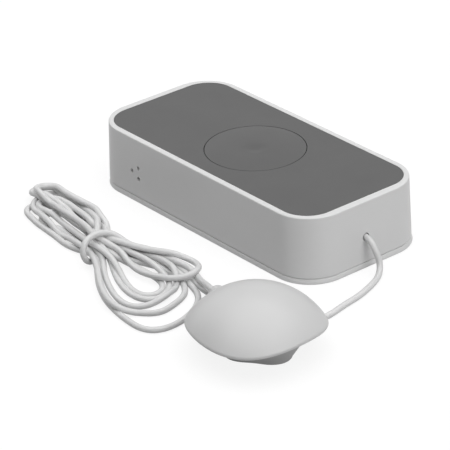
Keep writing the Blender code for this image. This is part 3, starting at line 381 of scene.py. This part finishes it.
white_abs = moulded("white_abs", "#DEDEDE", "#D8D8D8", 0.42, 25 * MM)
grey_abs = moulded("grey_abs_panel", "#484848", "#444444", 0.5, 25 * MM, depth=0.03 * MM)
probe_abs = moulded("white_abs_probe", "#CECECE", "#C8C8C8", 0.38, 18 * MM, depth=0.015 * MM)
foot_rubber = moulded("grey_tpe_foot", "#B4B4B4", "#AAAAAA", 0.6, 8 * MM, grain=0.5 * MM)
sheath_pvc = moulded("pvc_sheath", "#DCDCDC", "#D2D2D2", 0.4, 6 * MM, grain=1.2 * MM, ior=1.53)
nylon = moulded("nylon", "#DEDCD6", "#D2CFC6", 0.45, 5 * MM, ior=1.53)
black_resin = moulded("black_epoxy_resin", "#1C1C1C", "#151515", 0.42, 5 * MM)
foam = moulded("black_foam", "#242424", "#121212", 0.9, 2 * MM, grain=0.6 * MM, depth=0.2 * MM)
silicone = moulded("grey_silicone", "#A9A9A7", "#9C9C9A", 0.55, 4 * MM, ior=1.43)
plastics = (white_abs, grey_abs, probe_abs, foot_rubber, sheath_pvc, nylon, black_resin, foam, silicone)
print("plastics and rubbers:", ", ".join(finish.name for finish in plastics))

# %% [markdown]
# Metals keep the default index of refraction and take their look from colour and roughness. Zinc plate is
# cloudy, nickel is smoother, and a tinned can shows fine rolling lines. The circuit board is glass fibre
# under green solder mask, with the tracks as faint ribs, and a cell has a printed plastic sleeve.


# %% Metals, board and cell sleeve
def metal(name, code, dark_code, rough, size, stretch=(1.0, 1.0, 1.0)):
    """Plated metal with clouds of tone and gloss, which a stretch turns into rolling lines."""
    made, tree, shader = start_material(name)
    place = add(tree, "ShaderNodeTexCoord").outputs["Object"]
    turned = add(tree, "ShaderNodeMapping", {"Scale": stretch}, {"Vector": place})
    cloud = add(tree, "ShaderNodeTexNoise", {"Scale": 1 / size, "Detail": 4.0},
                {"Vector": turned.outputs[0]})
    tone = add(tree, "ShaderNodeMix", {"data_type": "RGBA", 6: linear(dark_code), 7: linear(code)},
               {0: cloud.outputs["Fac"]})
    gloss = add(tree, "ShaderNodeMapRange", {"To Min": rough - 0.06, "To Max": rough + 0.08},
                {"Value": cloud.outputs["Fac"]})
    shader.inputs["Metallic"].default_value = 1.0
    tree.links.new(tone.outputs[2], shader.inputs["Base Color"])
    tree.links.new(gloss.outputs["Result"], shader.inputs["Roughness"])
    return made


zinc = metal("zinc_plated_steel", "#C9C8C2", "#B4B3AC", 0.34, 0.8 * MM)
nickel = metal("nickel_plate", "#CFC9BC", "#C0B9AA", 0.26, 1.5 * MM)
tin = metal("tinned_steel", "#CFCFD0", "#BFBFC1", 0.32, 0.8 * MM, (1.0, 0.08, 1.0))

circuit_board, tree, shader = start_material("fr4_solder_mask")
place = add(tree, "ShaderNodeTexCoord").outputs["Object"]
TRACK_SPACING = 1.3 * MM
tracks = add(tree, "ShaderNodeTexBrick", {"Scale": 1.0, "Mortar Size": 0.18 * MM, "Brick Width": 9 * MM,
                                          "Row Height": TRACK_SPACING, "Color1": linear("#17552C"),
                                          "Color2": linear("#1A5C31"), "Mortar": linear("#2E7D46")},
             {"Vector": place})
ribs = add(tree, "ShaderNodeBump", {"Strength": 0.4, "Distance": 0.05 * MM},
           {"Height": tracks.outputs["Fac"]})
shader.inputs["Roughness"].default_value = 0.35
tree.links.new(tracks.outputs["Color"], shader.inputs["Base Color"])
tree.links.new(ribs.outputs["Normal"], shader.inputs["Normal"])

SLEEVE_BAND = 8 * MM
cell_sleeve, tree, shader = start_material("cell_sleeve")
place = add(tree, "ShaderNodeTexCoord").outputs["Object"]
along = add(tree, "ShaderNodeSeparateXYZ", links={"Vector": place})
band = add(tree, "ShaderNodeMath", {"operation": "GREATER_THAN", 1: SLEEVE_BAND}, {0: along.outputs["Y"]})
sleeve = add(tree, "ShaderNodeMix", {"data_type": "RGBA", 6: linear("#22345C"), 7: linear("#B98A3E")},
             {0: band.outputs[0]})
scuff = add(tree, "ShaderNodeTexNoise", {"Scale": 1 / (3 * MM), "Detail": 5.0}, {"Vector": place})
worn = add(tree, "ShaderNodeMapRange", {"To Min": 0.2, "To Max": 0.42}, {"Value": scuff.outputs["Fac"]})
tree.links.new(sleeve.outputs[2], shader.inputs["Base Color"])
tree.links.new(worn.outputs["Result"], shader.inputs["Roughness"])
print("metals, board and sleeve are made")

# %% [markdown]
# The hidden pieces keep their CAD solids, because their plain shapes are right, and each takes the finish
# of the real one.

# %% Finish the kept CAD pieces
KEPT = {
    nylon: ["switch_plunger", "board_spacer_1", "board_spacer_2", "board_spacer_3", "board_spacer_4",
            "wire_connector", "cable_collar"],
    black_resin: ["tact_switch", "processor_chip", "battery_holder", "sounder"],
    circuit_board: ["main_board", "probe_board"],
    zinc: [f"{kind}_screw_{n}" for kind in ("board", "base") for n in (1, 2, 3, 4)],
    tin: ["radio_module", "capacitor"],
    nickel: ["contact_near", "contact_far", "electrode_1", "electrode_2", "electrode_3"],
    cell_sleeve: ["battery_cell_1", "battery_cell_2"],
    foam: ["sounder_pad"],
    silicone: ["probe_seal"],
    sheath_pvc: ["inner_lead"],
}
for finish, names in KEPT.items():
    for name in names:
        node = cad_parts[name]
        node.data.materials.clear()
        node.data.materials.append(finish)
print(sum(len(names) for names in KEPT.values()), "CAD pieces kept")
cable.data.materials.append(sheath_pvc)

# %% [markdown]
# ## Box
# The shell, the base and the panel are all slabs with round corners. A cube whose upright edges are
# bevelled gives one, its rim is bevelled again, and Booleans with plain cutters open it. A hand-drawn
# outline would work as well, but the bevels keep the corners true at any size.

# %% Slab with round corners
CORNER_STEPS = 20


def slab(length, width, corner, low, high):
    """A bmesh slab with round upright corners, in millimetres."""
    bm = bmesh.new()
    bmesh.ops.create_cube(bm, size=1.0, matrix=Matrix.Translation((0, 0, (low + high) / 2 * MM))
                          @ Matrix.Diagonal((length * MM, width * MM, (high - low) * MM, 1.0)))
    uprights = [e for e in bm.edges if abs(e.verts[0].co.z - e.verts[1].co.z) > MM / 100]
    bmesh.ops.bevel(bm, geom=uprights, offset=corner * MM, offset_type="OFFSET", segments=CORNER_STEPS,
                    profile=0.5, affect="EDGES", material=-1)
    return bm


# %% [markdown]
# Three more helpers work on one level of a slab. They find the edges that run round it, slide its corners
# inwards for a taper, and round its rim.


# %% Taper and rim
def rim_edges(bm, height):
    """Edges that run round the slab at a height in millimetres."""
    return [e for e in bm.edges if all(abs(v.co.z / MM - height) < 0.01 for v in e.verts)]


def slide_corners(bm, height, x, y):
    """Move the corners at a height towards the middle, which tapers a slab and keeps its radius."""
    for v in bm.verts:
        if abs(v.co.z / MM - height) < 0.01:
            v.co.x -= math.copysign(x * MM, v.co.x)
            v.co.y -= math.copysign(y * MM, v.co.y)


def soften(bm, height, width, steps=6):
    """Round the edges at a height over a width in millimetres."""
    bmesh.ops.bevel(bm, geom=rim_edges(bm, height), offset=width * MM, offset_type="OFFSET", segments=steps,
                    profile=0.5, affect="EDGES", material=-1)


# %% [markdown]
# Round pieces, and the cutters for round holes, are spun from half of their profile, as on a lathe.


# %% Spun pieces and rods
def spun(profile, axis="Z", centre=(0, 0, 0), steps=64):
    """Spin a profile of (radius, height) points round an axis through a centre, in millimetres."""
    bm = bmesh.new()
    points = [bm.verts.new((r * MM, 0, h * MM)) for r, h in profile]
    lines = [bm.edges.new(pair) for pair in zip(points, points[1:])]
    bmesh.ops.spin(bm, geom=points + lines, cent=(0, 0, 0), axis=(0, 0, 1), angle=2 * math.pi, steps=steps,
                   use_merge=True)
    bmesh.ops.remove_doubles(bm, verts=bm.verts, dist=1e-7)
    turn = {"Z": Matrix.Identity(4), "X": Matrix.Rotation(math.pi / 2, 4, "Y"),
            "Y": Matrix.Rotation(-math.pi / 2, 4, "X")}[axis]
    bmesh.ops.transform(bm, matrix=Matrix.Translation(Vector(centre) * MM) @ turn, verts=bm.verts)
    return bm


def rod(radius, low, high, axis="Z", centre=(0, 0, 0), steps=48):
    """A plain round bar from one height to another along its axis."""
    return spun([(0, low), (radius, low), (radius, high), (0, high)], axis, centre, steps)


# %% [markdown]
# A bmesh becomes an object once its doubles are merged and its faces point outwards. Booleans are applied
# one at a time with the exact solver, so that each cut starts from a clean and closed shape.


# %% Objects and Booleans
def solid(name, bm):
    """Turn a bmesh into an object with its faces pointing outwards."""
    bmesh.ops.remove_doubles(bm, verts=bm.verts, dist=1e-7)
    bmesh.ops.recalc_face_normals(bm, faces=bm.faces)
    mesh = bpy.data.meshes.new(name)
    bm.to_mesh(mesh)
    bm.free()
    made = bpy.data.objects.new(name, mesh)
    bpy.context.scene.collection.objects.link(made)
    return made


def carve(target, cutters, operation="DIFFERENCE"):
    """Apply Booleans one after another and remove their cutters."""
    for cutter in cutters:
        tool = solid("cutter", cutter)
        change = target.modifiers.new("carve", "BOOLEAN")
        change.operation, change.solver, change.object = operation, "EXACT", tool
        cut = bpy.data.meshes.new_from_object(target.evaluated_get(bpy.context.evaluated_depsgraph_get()))
        target.modifiers.clear()
        target.data = cut
        bpy.data.objects.remove(tool)
    return target


# %% [markdown]
# Dressing a piece gives it its finish, smooth shading with its sharp edges kept, and where it is asked for a
# fine rounded edge that catches the light. It then tells the frame which body the piece moves with.


# %% Dress a piece
def dress(piece, finish, body, slot, *nodes, edge=0.0, sharp=35.0):
    """Give a piece its finish and its body, and hide the CAD nodes that it stands for."""
    piece.data.materials.clear()
    piece.data.materials.append(finish)
    piece.data.shade_smooth()
    piece.data.set_sharp_from_angle(angle=math.radians(sharp))
    if edge:
        worn_edge = piece.modifiers.new("edge", "BEVEL")
        worn_edge.width, worn_edge.segments = edge * MM, 2
        worn_edge.limit_method, worn_edge.angle_limit = "ANGLE", math.radians(40)
        worn_edge.harden_normals = True
    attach(piece, body)
    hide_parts(*nodes)
    print(piece.name, len(piece.data.polygons), "faces")
    return piece


# %% [markdown]
# The base is a lid, 2.3 mm thick, with a lip that finds its place in the shell. Its side leans inwards
# towards the seam, so this band catches more light than the wall above it. Away from the cable it stops
# 0.4 mm short, which makes the small step at that end. Four counterbored holes take the screws.

# %% Base plate
BOX_LENGTH, BOX_WIDTH, BOX_HEIGHT, BOX_CORNER = 135.2, 64.6, 28.2, 16.7
BASE_TOP, LIP_TOP, POST_X, POST_Y, FAR_END_STEP = 2.3, 4.3, 56.5, 21.5, 0.4
BASE_ROUND, SEAM_LEAN, LIP_INSET, LIP_WIDTH = 0.5, 0.45, 2.0, 1.2
bm = slab(BOX_LENGTH - FAR_END_STEP, BOX_WIDTH, BOX_CORNER, 0.0, BASE_TOP)
bmesh.ops.translate(bm, vec=(FAR_END_STEP / 2 * MM, 0, 0), verts=bm.verts)
slide_corners(bm, BASE_TOP, SEAM_LEAN, SEAM_LEAN)
soften(bm, 0.0, BASE_ROUND)
soften(bm, BASE_TOP, SEAM_LEAN)
top = [f for f in bm.faces if f.normal.z > 0.99 and abs(f.calc_center_median().z / MM - BASE_TOP) < 0.01]
bmesh.ops.inset_region(bm, faces=top, thickness=LIP_INSET * MM, use_even_offset=True)
lip = bmesh.ops.inset_region(bm, faces=top, thickness=LIP_WIDTH * MM, use_even_offset=True)["faces"]
raised = bmesh.ops.extrude_face_region(bm, geom=lip)["geom"]
bmesh.ops.translate(bm, vec=(0, 0, (LIP_TOP - BASE_TOP) * MM),
                    verts=[v for v in raised if isinstance(v, bmesh.types.BMVert)])
bmesh.ops.delete(bm, geom=lip, context="FACES_ONLY")
base = solid("base", bm)
posts = [(sx * POST_X, sy * POST_Y, 0) for sx in (1, -1) for sy in (1, -1)]
HEAD_RADIUS, HEAD_DEPTH, SCREW_RADIUS, SCREW_TOP = 2.6, 1.4, 1.5, 3.3
screw_hole = [(0, -1), (HEAD_RADIUS, -1), (HEAD_RADIUS, HEAD_DEPTH), (SCREW_RADIUS, HEAD_DEPTH),
              (SCREW_RADIUS, SCREW_TOP), (0, SCREW_TOP)]
carve(base, [spun(screw_hole, centre=place) for place in posts])
dress(base, white_abs, "sensor", "white_shell", "base_plate")

# %% [markdown]
# The shell tapers a little so that it leaves its mould, and its upper rim is rounded by 0.5 mm. Its pocket
# holds the panel, three small holes in the near side let the sounder out, and the cable leaves the end.

# %% Shell with its hollow and pocket
SHELL_LENGTH, SHELL_WIDTH, SHELL_CORNER, RIM_ROUND = 134.4, 63.8, 16.3, 0.5
SHELL_LOW, DECK_TOP, DECK_LOW, SHELF_TOP = 2.6, 26.4, 23.5, 24.3
TAPER_X, TAPER_Y, HOLLOW_TAPER_X, HOLLOW_TAPER_Y = 0.8, 0.4, 0.65, 0.33
bm = slab(SHELL_LENGTH, SHELL_WIDTH, SHELL_CORNER, SHELL_LOW, BOX_HEIGHT)
slide_corners(bm, BOX_HEIGHT, TAPER_X, TAPER_Y)
soften(bm, BOX_HEIGHT, RIM_ROUND)
shell = solid("shell", bm)
HOLLOW_LENGTH, HOLLOW_WIDTH, HOLLOW_CORNER = 130.0, 59.4, 14.1
hollow = slab(HOLLOW_LENGTH, HOLLOW_WIDTH, HOLLOW_CORNER, SHELL_LOW - 1, DECK_LOW)
slide_corners(hollow, DECK_LOW, HOLLOW_TAPER_X, HOLLOW_TAPER_Y)
POCKET_LENGTH, POCKET_WIDTH, POCKET_CORNER = 126.6, 58.0, 12.0
pocket = slab(POCKET_LENGTH, POCKET_WIDTH, POCKET_CORNER, DECK_TOP, BOX_HEIGHT + 1)
BUTTON_X, BUTTON_Y, SHELF_RADIUS, WELL_RADIUS = 1.5, -1.2, 22.65, 12.0
button_centre = (BUTTON_X, BUTTON_Y, 0)
carve(shell, [hollow, pocket, rod(SHELF_RADIUS, SHELF_TOP, BOX_HEIGHT, centre=button_centre, steps=96),
              rod(WELL_RADIUS, DECK_LOW - 1, BOX_HEIGHT, centre=button_centre)])
print("shell hollowed, with a pocket for the panel")

# %% Posts, sound holes and cable hole
POST_RADIUS, POST_BORE, BORE_DEPTH = 3.2, 1.5, 8
carve(shell, [rod(POST_RADIUS, SHELL_LOW, DECK_LOW + 0.4, centre=place) for place in posts], "UNION")
carve(shell, [rod(POST_BORE, SHELL_LOW - 1, SHELL_LOW + BORE_DEPTH, centre=place, steps=24)
              for place in posts])
SOUND_X, SOUND_Z, SOUND_RING, SOUND_RADIUS = -38.1, 13.2, 2.75, 0.95
holes = [(SOUND_X + SOUND_RING * math.cos(turn), 0, SOUND_Z + SOUND_RING * math.sin(turn))
         for turn in map(math.radians, (180, 60, -60))]
carve(shell, [rod(SOUND_RADIUS, -40, -20, "Y", place, 32) for place in holes])
CABLE_HOLE_RADIUS, CABLE_HOLE_Y, CABLE_HOLE_Z = 1.65, -1.0, 13.2
carve(shell, [rod(CABLE_HOLE_RADIUS, 60, 72, "X", (0, CABLE_HOLE_Y, CABLE_HOLE_Z), 48)])
dress(shell, white_abs, "sensor", "white_shell", "top_shell", edge=0.12)

# %% [markdown]
# The panel is a grey plate set flush into the rim. The button is the same plastic, turned about its own
# axis, with a shallow dish in the middle for the finger, a flange below and a stem down to the switch.

# %% Panel
PANEL_LENGTH, PANEL_WIDTH, PANEL_CORNER, PANEL_LOW = 126.4, 57.8, 11.9, 26.7
BUTTON_RADIUS, BUTTON_GROOVE = 20.5, 0.25
panel = solid("panel", slab(PANEL_LENGTH, PANEL_WIDTH, PANEL_CORNER, PANEL_LOW, BOX_HEIGHT))
carve(panel, [rod(BUTTON_RADIUS + BUTTON_GROOVE, PANEL_LOW - 1, BOX_HEIGHT + 1,
                  centre=button_centre, steps=128)])
dress(panel, grey_abs, "sensor", "grey_panel", "top_panel", edge=0.1)

# %% Button
DISH_RADIUS, DISH_DEPTH, FLANGE_RADIUS, STEM_RADIUS = 5.6, 0.4, 22.15, 2.5
FLANGE_TOP, FLANGE_LOW, STEM_LOW, BUTTON_RIM = 26.4, 25.6, 18.3, 0.15
DISH_STEPS = 12
profile = []
for step in range(DISH_STEPS + 1):
    share = step / DISH_STEPS
    profile.append((DISH_RADIUS * share, BOX_HEIGHT - DISH_DEPTH * (0.5 + 0.5 * math.cos(math.pi * share))))
for step in range(4):
    turn = math.radians(30 * step)
    profile.append((BUTTON_RADIUS - BUTTON_RIM * (1 - math.sin(turn)),
                    BOX_HEIGHT - BUTTON_RIM * (1 - math.cos(turn))))
profile += [(BUTTON_RADIUS, FLANGE_TOP), (FLANGE_RADIUS, FLANGE_TOP), (FLANGE_RADIUS, FLANGE_LOW),
            (STEM_RADIUS, FLANGE_LOW), (STEM_RADIUS, STEM_LOW), (0, STEM_LOW)]
button = solid("button_cap", spun(profile, centre=button_centre, steps=128))
print("button profile:", len(profile), "points")

# %% [markdown]
# The dish is painted a little darker, as painted shade standing in for the shade in its hollow. A spherical
# gradient, moved to the middle of the button, fades that painted shade out over 7.5 mm.

# %% Painted shade in the dish
DISH_SHADE_RADIUS = 7.5 * MM
button_abs = moulded("grey_abs_button", "#484848", "#444444", 0.5, 25 * MM, depth=0.03 * MM)
tree = button_abs.node_tree
shader = next(node for node in tree.nodes if node.type == "BSDF_PRINCIPLED")
clean_tone = shader.inputs["Base Color"].links[0].from_socket
place = add(tree, "ShaderNodeTexCoord").outputs["Object"]
moved = add(tree, "ShaderNodeMapping", {"vector_type": "TEXTURE", "Scale": (DISH_SHADE_RADIUS,) * 3,
                                        "Location": Vector((BUTTON_X, BUTTON_Y, BOX_HEIGHT)) * MM},
            {"Vector": place})
fade = add(tree, "ShaderNodeTexGradient", {"gradient_type": "SPHERICAL"}, {"Vector": moved.outputs[0]})
# Painted shade: the middle of the dish is mixed towards #404040 and fades out to the button's own grey.
dish_painted_shade = add(tree, "ShaderNodeMix", {"data_type": "RGBA", 7: linear("#404040")},
                {0: fade.outputs["Fac"], 6: clean_tone})
tree.links.new(dish_painted_shade.outputs[2], shader.inputs["Base Color"])
dress(button, button_abs, "button", "grey_panel", "push_button")

# %% [markdown]
# ## Probe
# The probe's cover is a thin spherical dome whose edge is a rounded triangle. A flat round plate with a
# half-round edge is spun first. Each of its points is then slid out to the three-cornered outline and laid
# on the sphere, which keeps the wall's thickness true. A lofted surface would need many more points. Along
# one direction the outline reaches 0.6 mm further out, as the photographed one does.

# %% Dome
PROBE = Vector((87.5, -74.7, -5.5))
SPHERE, WALL, EDGE, LOBE, WIDER = 31.5, 2.2, 25.8, 0.8, 0.6
LOBE_TURN, WIDER_TURN, EDGE_SHIFT = math.radians(-50), math.radians(50), (-0.3, 0.5)
RINGS = 16
flat_edge = EDGE - WALL / 2
profile = [(flat_edge * math.sin(math.pi / 2 * s / RINGS), WALL / 2) for s in range(RINGS + 1)]
profile += [(flat_edge + WALL / 2 * math.sin(math.radians(a)), WALL / 2 * math.cos(math.radians(a)))
            for a in range(15, 180, 15)]
profile += [(flat_edge * math.sin(math.pi / 2 * s / RINGS), -WALL / 2) for s in range(RINGS, -1, -1)]
bm = spun(profile, steps=120)
middle = SPHERE - WALL / 2
for v in bm.verts:
    x, y, height = v.co / MM
    angle, radius = math.atan2(y, x), math.hypot(x, y)
    outline = EDGE + LOBE * math.cos(3 * (angle - LOBE_TURN)) + WIDER * math.cos(angle - WIDER_TURN) ** 2
    reach = min(radius, flat_edge) / flat_edge * (outline - WALL / 2)
    out = Vector((math.cos(angle), math.sin(angle), 0))
    below = Vector((*EDGE_SHIFT, 0)) + out * reach
    normal = Vector((below.x, below.y, math.sqrt(middle ** 2 - below.length_squared))) / middle
    down = (out - normal * out.dot(normal)).normalized()
    v.co = (PROBE + normal * (middle + height) + down * max(0.0, radius - flat_edge)) * MM
dome = solid("dome", bm)
print("dome:", len(dome.data.polygons), "faces")

# %% [markdown]
# The cable leaves the dome through a short round boss, which only shows as a small bump on its edge.

# %% Cable boss
BOSS_TURN, BOSS_START, BOSS_REACH, BOSS_Z = math.radians(170.4), 19.0, 30.0, 11.0
BOSS_RADIUS, NOSE_RADIUS, NOSE_LENGTH, BORE = 3.5, 2.0, 3.2, 1.6
profile = [(0, BOSS_START), (BOSS_RADIUS, BOSS_START), (BOSS_RADIUS, BOSS_REACH - NOSE_LENGTH)]
for step in range(1, 7):
    turn = math.radians(15 * step)
    profile.append((BOSS_RADIUS - (BOSS_RADIUS - NOSE_RADIUS) * (1 - math.cos(turn)),
                    BOSS_REACH - NOSE_LENGTH * (1 - math.sin(turn))))
profile.append((0, BOSS_REACH))
boss, bore = spun(profile, "X"), rod(BORE, BOSS_START - 1, BOSS_REACH + 1, "X")
to_probe = (Matrix.Translation(Vector((PROBE.x + EDGE_SHIFT[0], PROBE.y + EDGE_SHIFT[1], BOSS_Z)) * MM)
            @ Matrix.Rotation(BOSS_TURN, 4, "Z"))
for shape in (boss, bore):
    bmesh.ops.transform(shape, matrix=to_probe, verts=shape.verts)
carve(dome, [boss], "UNION")
carve(dome, [bore])
dress(dome, probe_abs, "sensor", "white_probe", "probe_dome", sharp=40.0)

# %% [markdown]
# The foot is a grey three-lobed cup under a thin plate. It is spun as a plain cup, and every ring is then
# moved out into its lobes. The pins stand in three bores, and a slot in the plate lets the boss through.

# %% Foot
FOOT_CENTRE, FOOT_TURN, FOOT_LOBE, SHOULDER_LOBE = (87.7, -72.7), math.radians(6.3), 1.75, 0.86
PLATE_CENTRE, PLATE_LOBE, SHOULDER_Z, PLATE_TOP, CUP_FLOOR = (87.2, -74.2), 0.8, 10.4, 11.4, 2.4
CUP_RADIUS, PLATE_RADIUS = 19.2, 22.4
profile = [(0, 0), (11.6, 0), (12.0, 0.12), (12.25, 0.4), (12.35, 0.8), (14.6, 4.0), (16.9, 7.2),
           (CUP_RADIUS, SHOULDER_Z), (PLATE_RADIUS, SHOULDER_Z), (PLATE_RADIUS, PLATE_TOP),
           (17.5, PLATE_TOP), (11.2, CUP_FLOOR), (0, CUP_FLOOR)]
bm = spun(profile, steps=120)
for v in bm.verts:
    x, y, z = v.co / MM
    angle, radius = math.atan2(y, x), math.hypot(x, y)
    if radius > (CUP_RADIUS + PLATE_RADIUS) / 2:
        centre, lobe = PLATE_CENTRE, PLATE_LOBE * math.cos(3 * (angle - LOBE_TURN))
    else:
        share = min(1.0, z / SHOULDER_Z)
        lobe = FOOT_LOBE + (SHOULDER_LOBE - FOOT_LOBE) * share
        centre, lobe = FOOT_CENTRE, lobe * math.cos(3 * (angle - FOOT_TURN)) * min(1.0, radius)
    reach = radius + lobe
    v.co = Vector((centre[0] + reach * math.cos(angle), centre[1] + reach * math.sin(angle), z)) * MM
foot_cup = solid("foot", bm)
SLOT_GAP, PIN_BORE = 0.2, 1.7
slot = rod(BOSS_RADIUS + SLOT_GAP, 18, 32, "X")
bmesh.ops.transform(slot, matrix=to_probe, verts=slot.verts)
bores = []
for number in (1, 2, 3):
    low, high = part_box(f"electrode_{number}")
    pin_x, pin_y = [(low[axis] + high[axis]) / 2 / MM for axis in (0, 1)]
    bores.append(rod(PIN_BORE, -1, 4, centre=(pin_x, pin_y, 0), steps=32))
carve(foot_cup, [slot] + bores)
dress(foot_cup, foot_rubber, "sensor", "grey_foot", "probe_base")

# %% [markdown]
# ## Floor, light and background
# The photograph's ground is plain white, and the box's near long side gets little light but what the
# ground throws back, as on a lit table. A very broad lamp hangs above, a smaller one stands beyond the
# cable's end, and a weak one beyond the other end. What is seen straight, or in metal and glass, shows a
# white ground that keeps a soft shadow. All other light meets a darker one.


# %% Rays that show a surface
def shown_to_eye(tree):
    """1 for rays of the camera, of gloss and through glass, and 0 for all other light."""
    path = add(tree, "ShaderNodeLightPath")
    seen = add(tree, "ShaderNodeMath", {"operation": "MAXIMUM"},
               {0: path.outputs["Is Camera Ray"], 1: path.outputs["Is Glossy Ray"]})
    seen = add(tree, "ShaderNodeMath", {"operation": "MAXIMUM"},
               {0: seen.outputs[0], 1: path.outputs["Is Transmission Ray"]})
    return seen.outputs[0]


# %% Floor
FLOOR_SIZE, FLOOR_LIFT, PAPER_GLOW = 6.0, 0.08, 0.85
bm = bmesh.new()
bmesh.ops.create_grid(bm, x_segments=1, y_segments=1, size=FLOOR_SIZE / 2)
floor = solid("floor", bm)
floor_white = bpy.data.materials.new("studio_paper")
floor_white.use_nodes = True
tree = floor_white.node_tree
tree.nodes.clear()
seen = shown_to_eye(tree)
lit = add(tree, "ShaderNodeEmission", {"Color": linear("#FFFFFF"), "Strength": FLOOR_LIFT})
plain = add(tree, "ShaderNodeBsdfDiffuse", {"Color": linear("#999999")})
plain = add(tree, "ShaderNodeAddShader", links={0: plain.outputs[0], 1: lit.outputs[0]})
shade = add(tree, "ShaderNodeBsdfDiffuse", {"Color": linear("#747474")})
glow = add(tree, "ShaderNodeEmission", {"Color": linear("#FFFFFF"), "Strength": PAPER_GLOW})
paper = add(tree, "ShaderNodeAddShader", links={0: shade.outputs[0], 1: glow.outputs[0]})
shown = add(tree, "ShaderNodeMixShader", links={0: seen, 1: plain.outputs[0], 2: paper.outputs[0]})
add(tree, "ShaderNodeOutputMaterial", links={"Surface": shown.outputs[0]})
floor.data.materials.append(floor_white)
print("floor:", FLOOR_SIZE, "m wide")

# %% World
world = bpy.data.worlds.new("studio")
bpy.context.scene.world = world
world.use_nodes = True
tree = world.node_tree
tree.nodes.clear()
seen = shown_to_eye(tree)
AMBIENT = 0.1
strength = add(tree, "ShaderNodeMapRange", {"To Min": AMBIENT, "To Max": 1.0}, {"Value": seen})
sky = add(tree, "ShaderNodeBackground", {"Color": linear("#FFFFFF")},
          {"Strength": strength.outputs["Result"]})
add(tree, "ShaderNodeOutputWorld", links={"Surface": sky.outputs[0]})
print("world strength for all but the seen rays:", AMBIENT)


# %% Lamps
def lamp(name, energy, breadth, elevation, turn):
    """A far soft lamp: its breadth in the sky, its height above the ground and its turn from the +X axis."""
    data = bpy.data.lights.new(name, "SUN")
    data.energy, data.angle = energy, math.radians(breadth)
    made = bpy.data.objects.new(name, data)
    bpy.context.scene.collection.objects.link(made)
    up, round_z = math.radians(elevation), math.radians(turn)
    towards = Vector((math.cos(up) * math.cos(round_z), math.cos(up) * math.sin(round_z), math.sin(up)))
    aim = towards.to_track_quat("Z", "Y").to_matrix().to_4x4()
    made.matrix_world = Matrix.Translation(towards * 2) @ aim
    print(name, [round(c, 2) for c in towards])


lamp("ceiling_panel", 2.36, 84, 86, 40)
lamp("end_lamp", 0.92, 40, 20, -2)
lamp("far_lamp", 0.3, 40, 28, 180)
bpy.context.scene.view_settings.view_transform = "Standard"
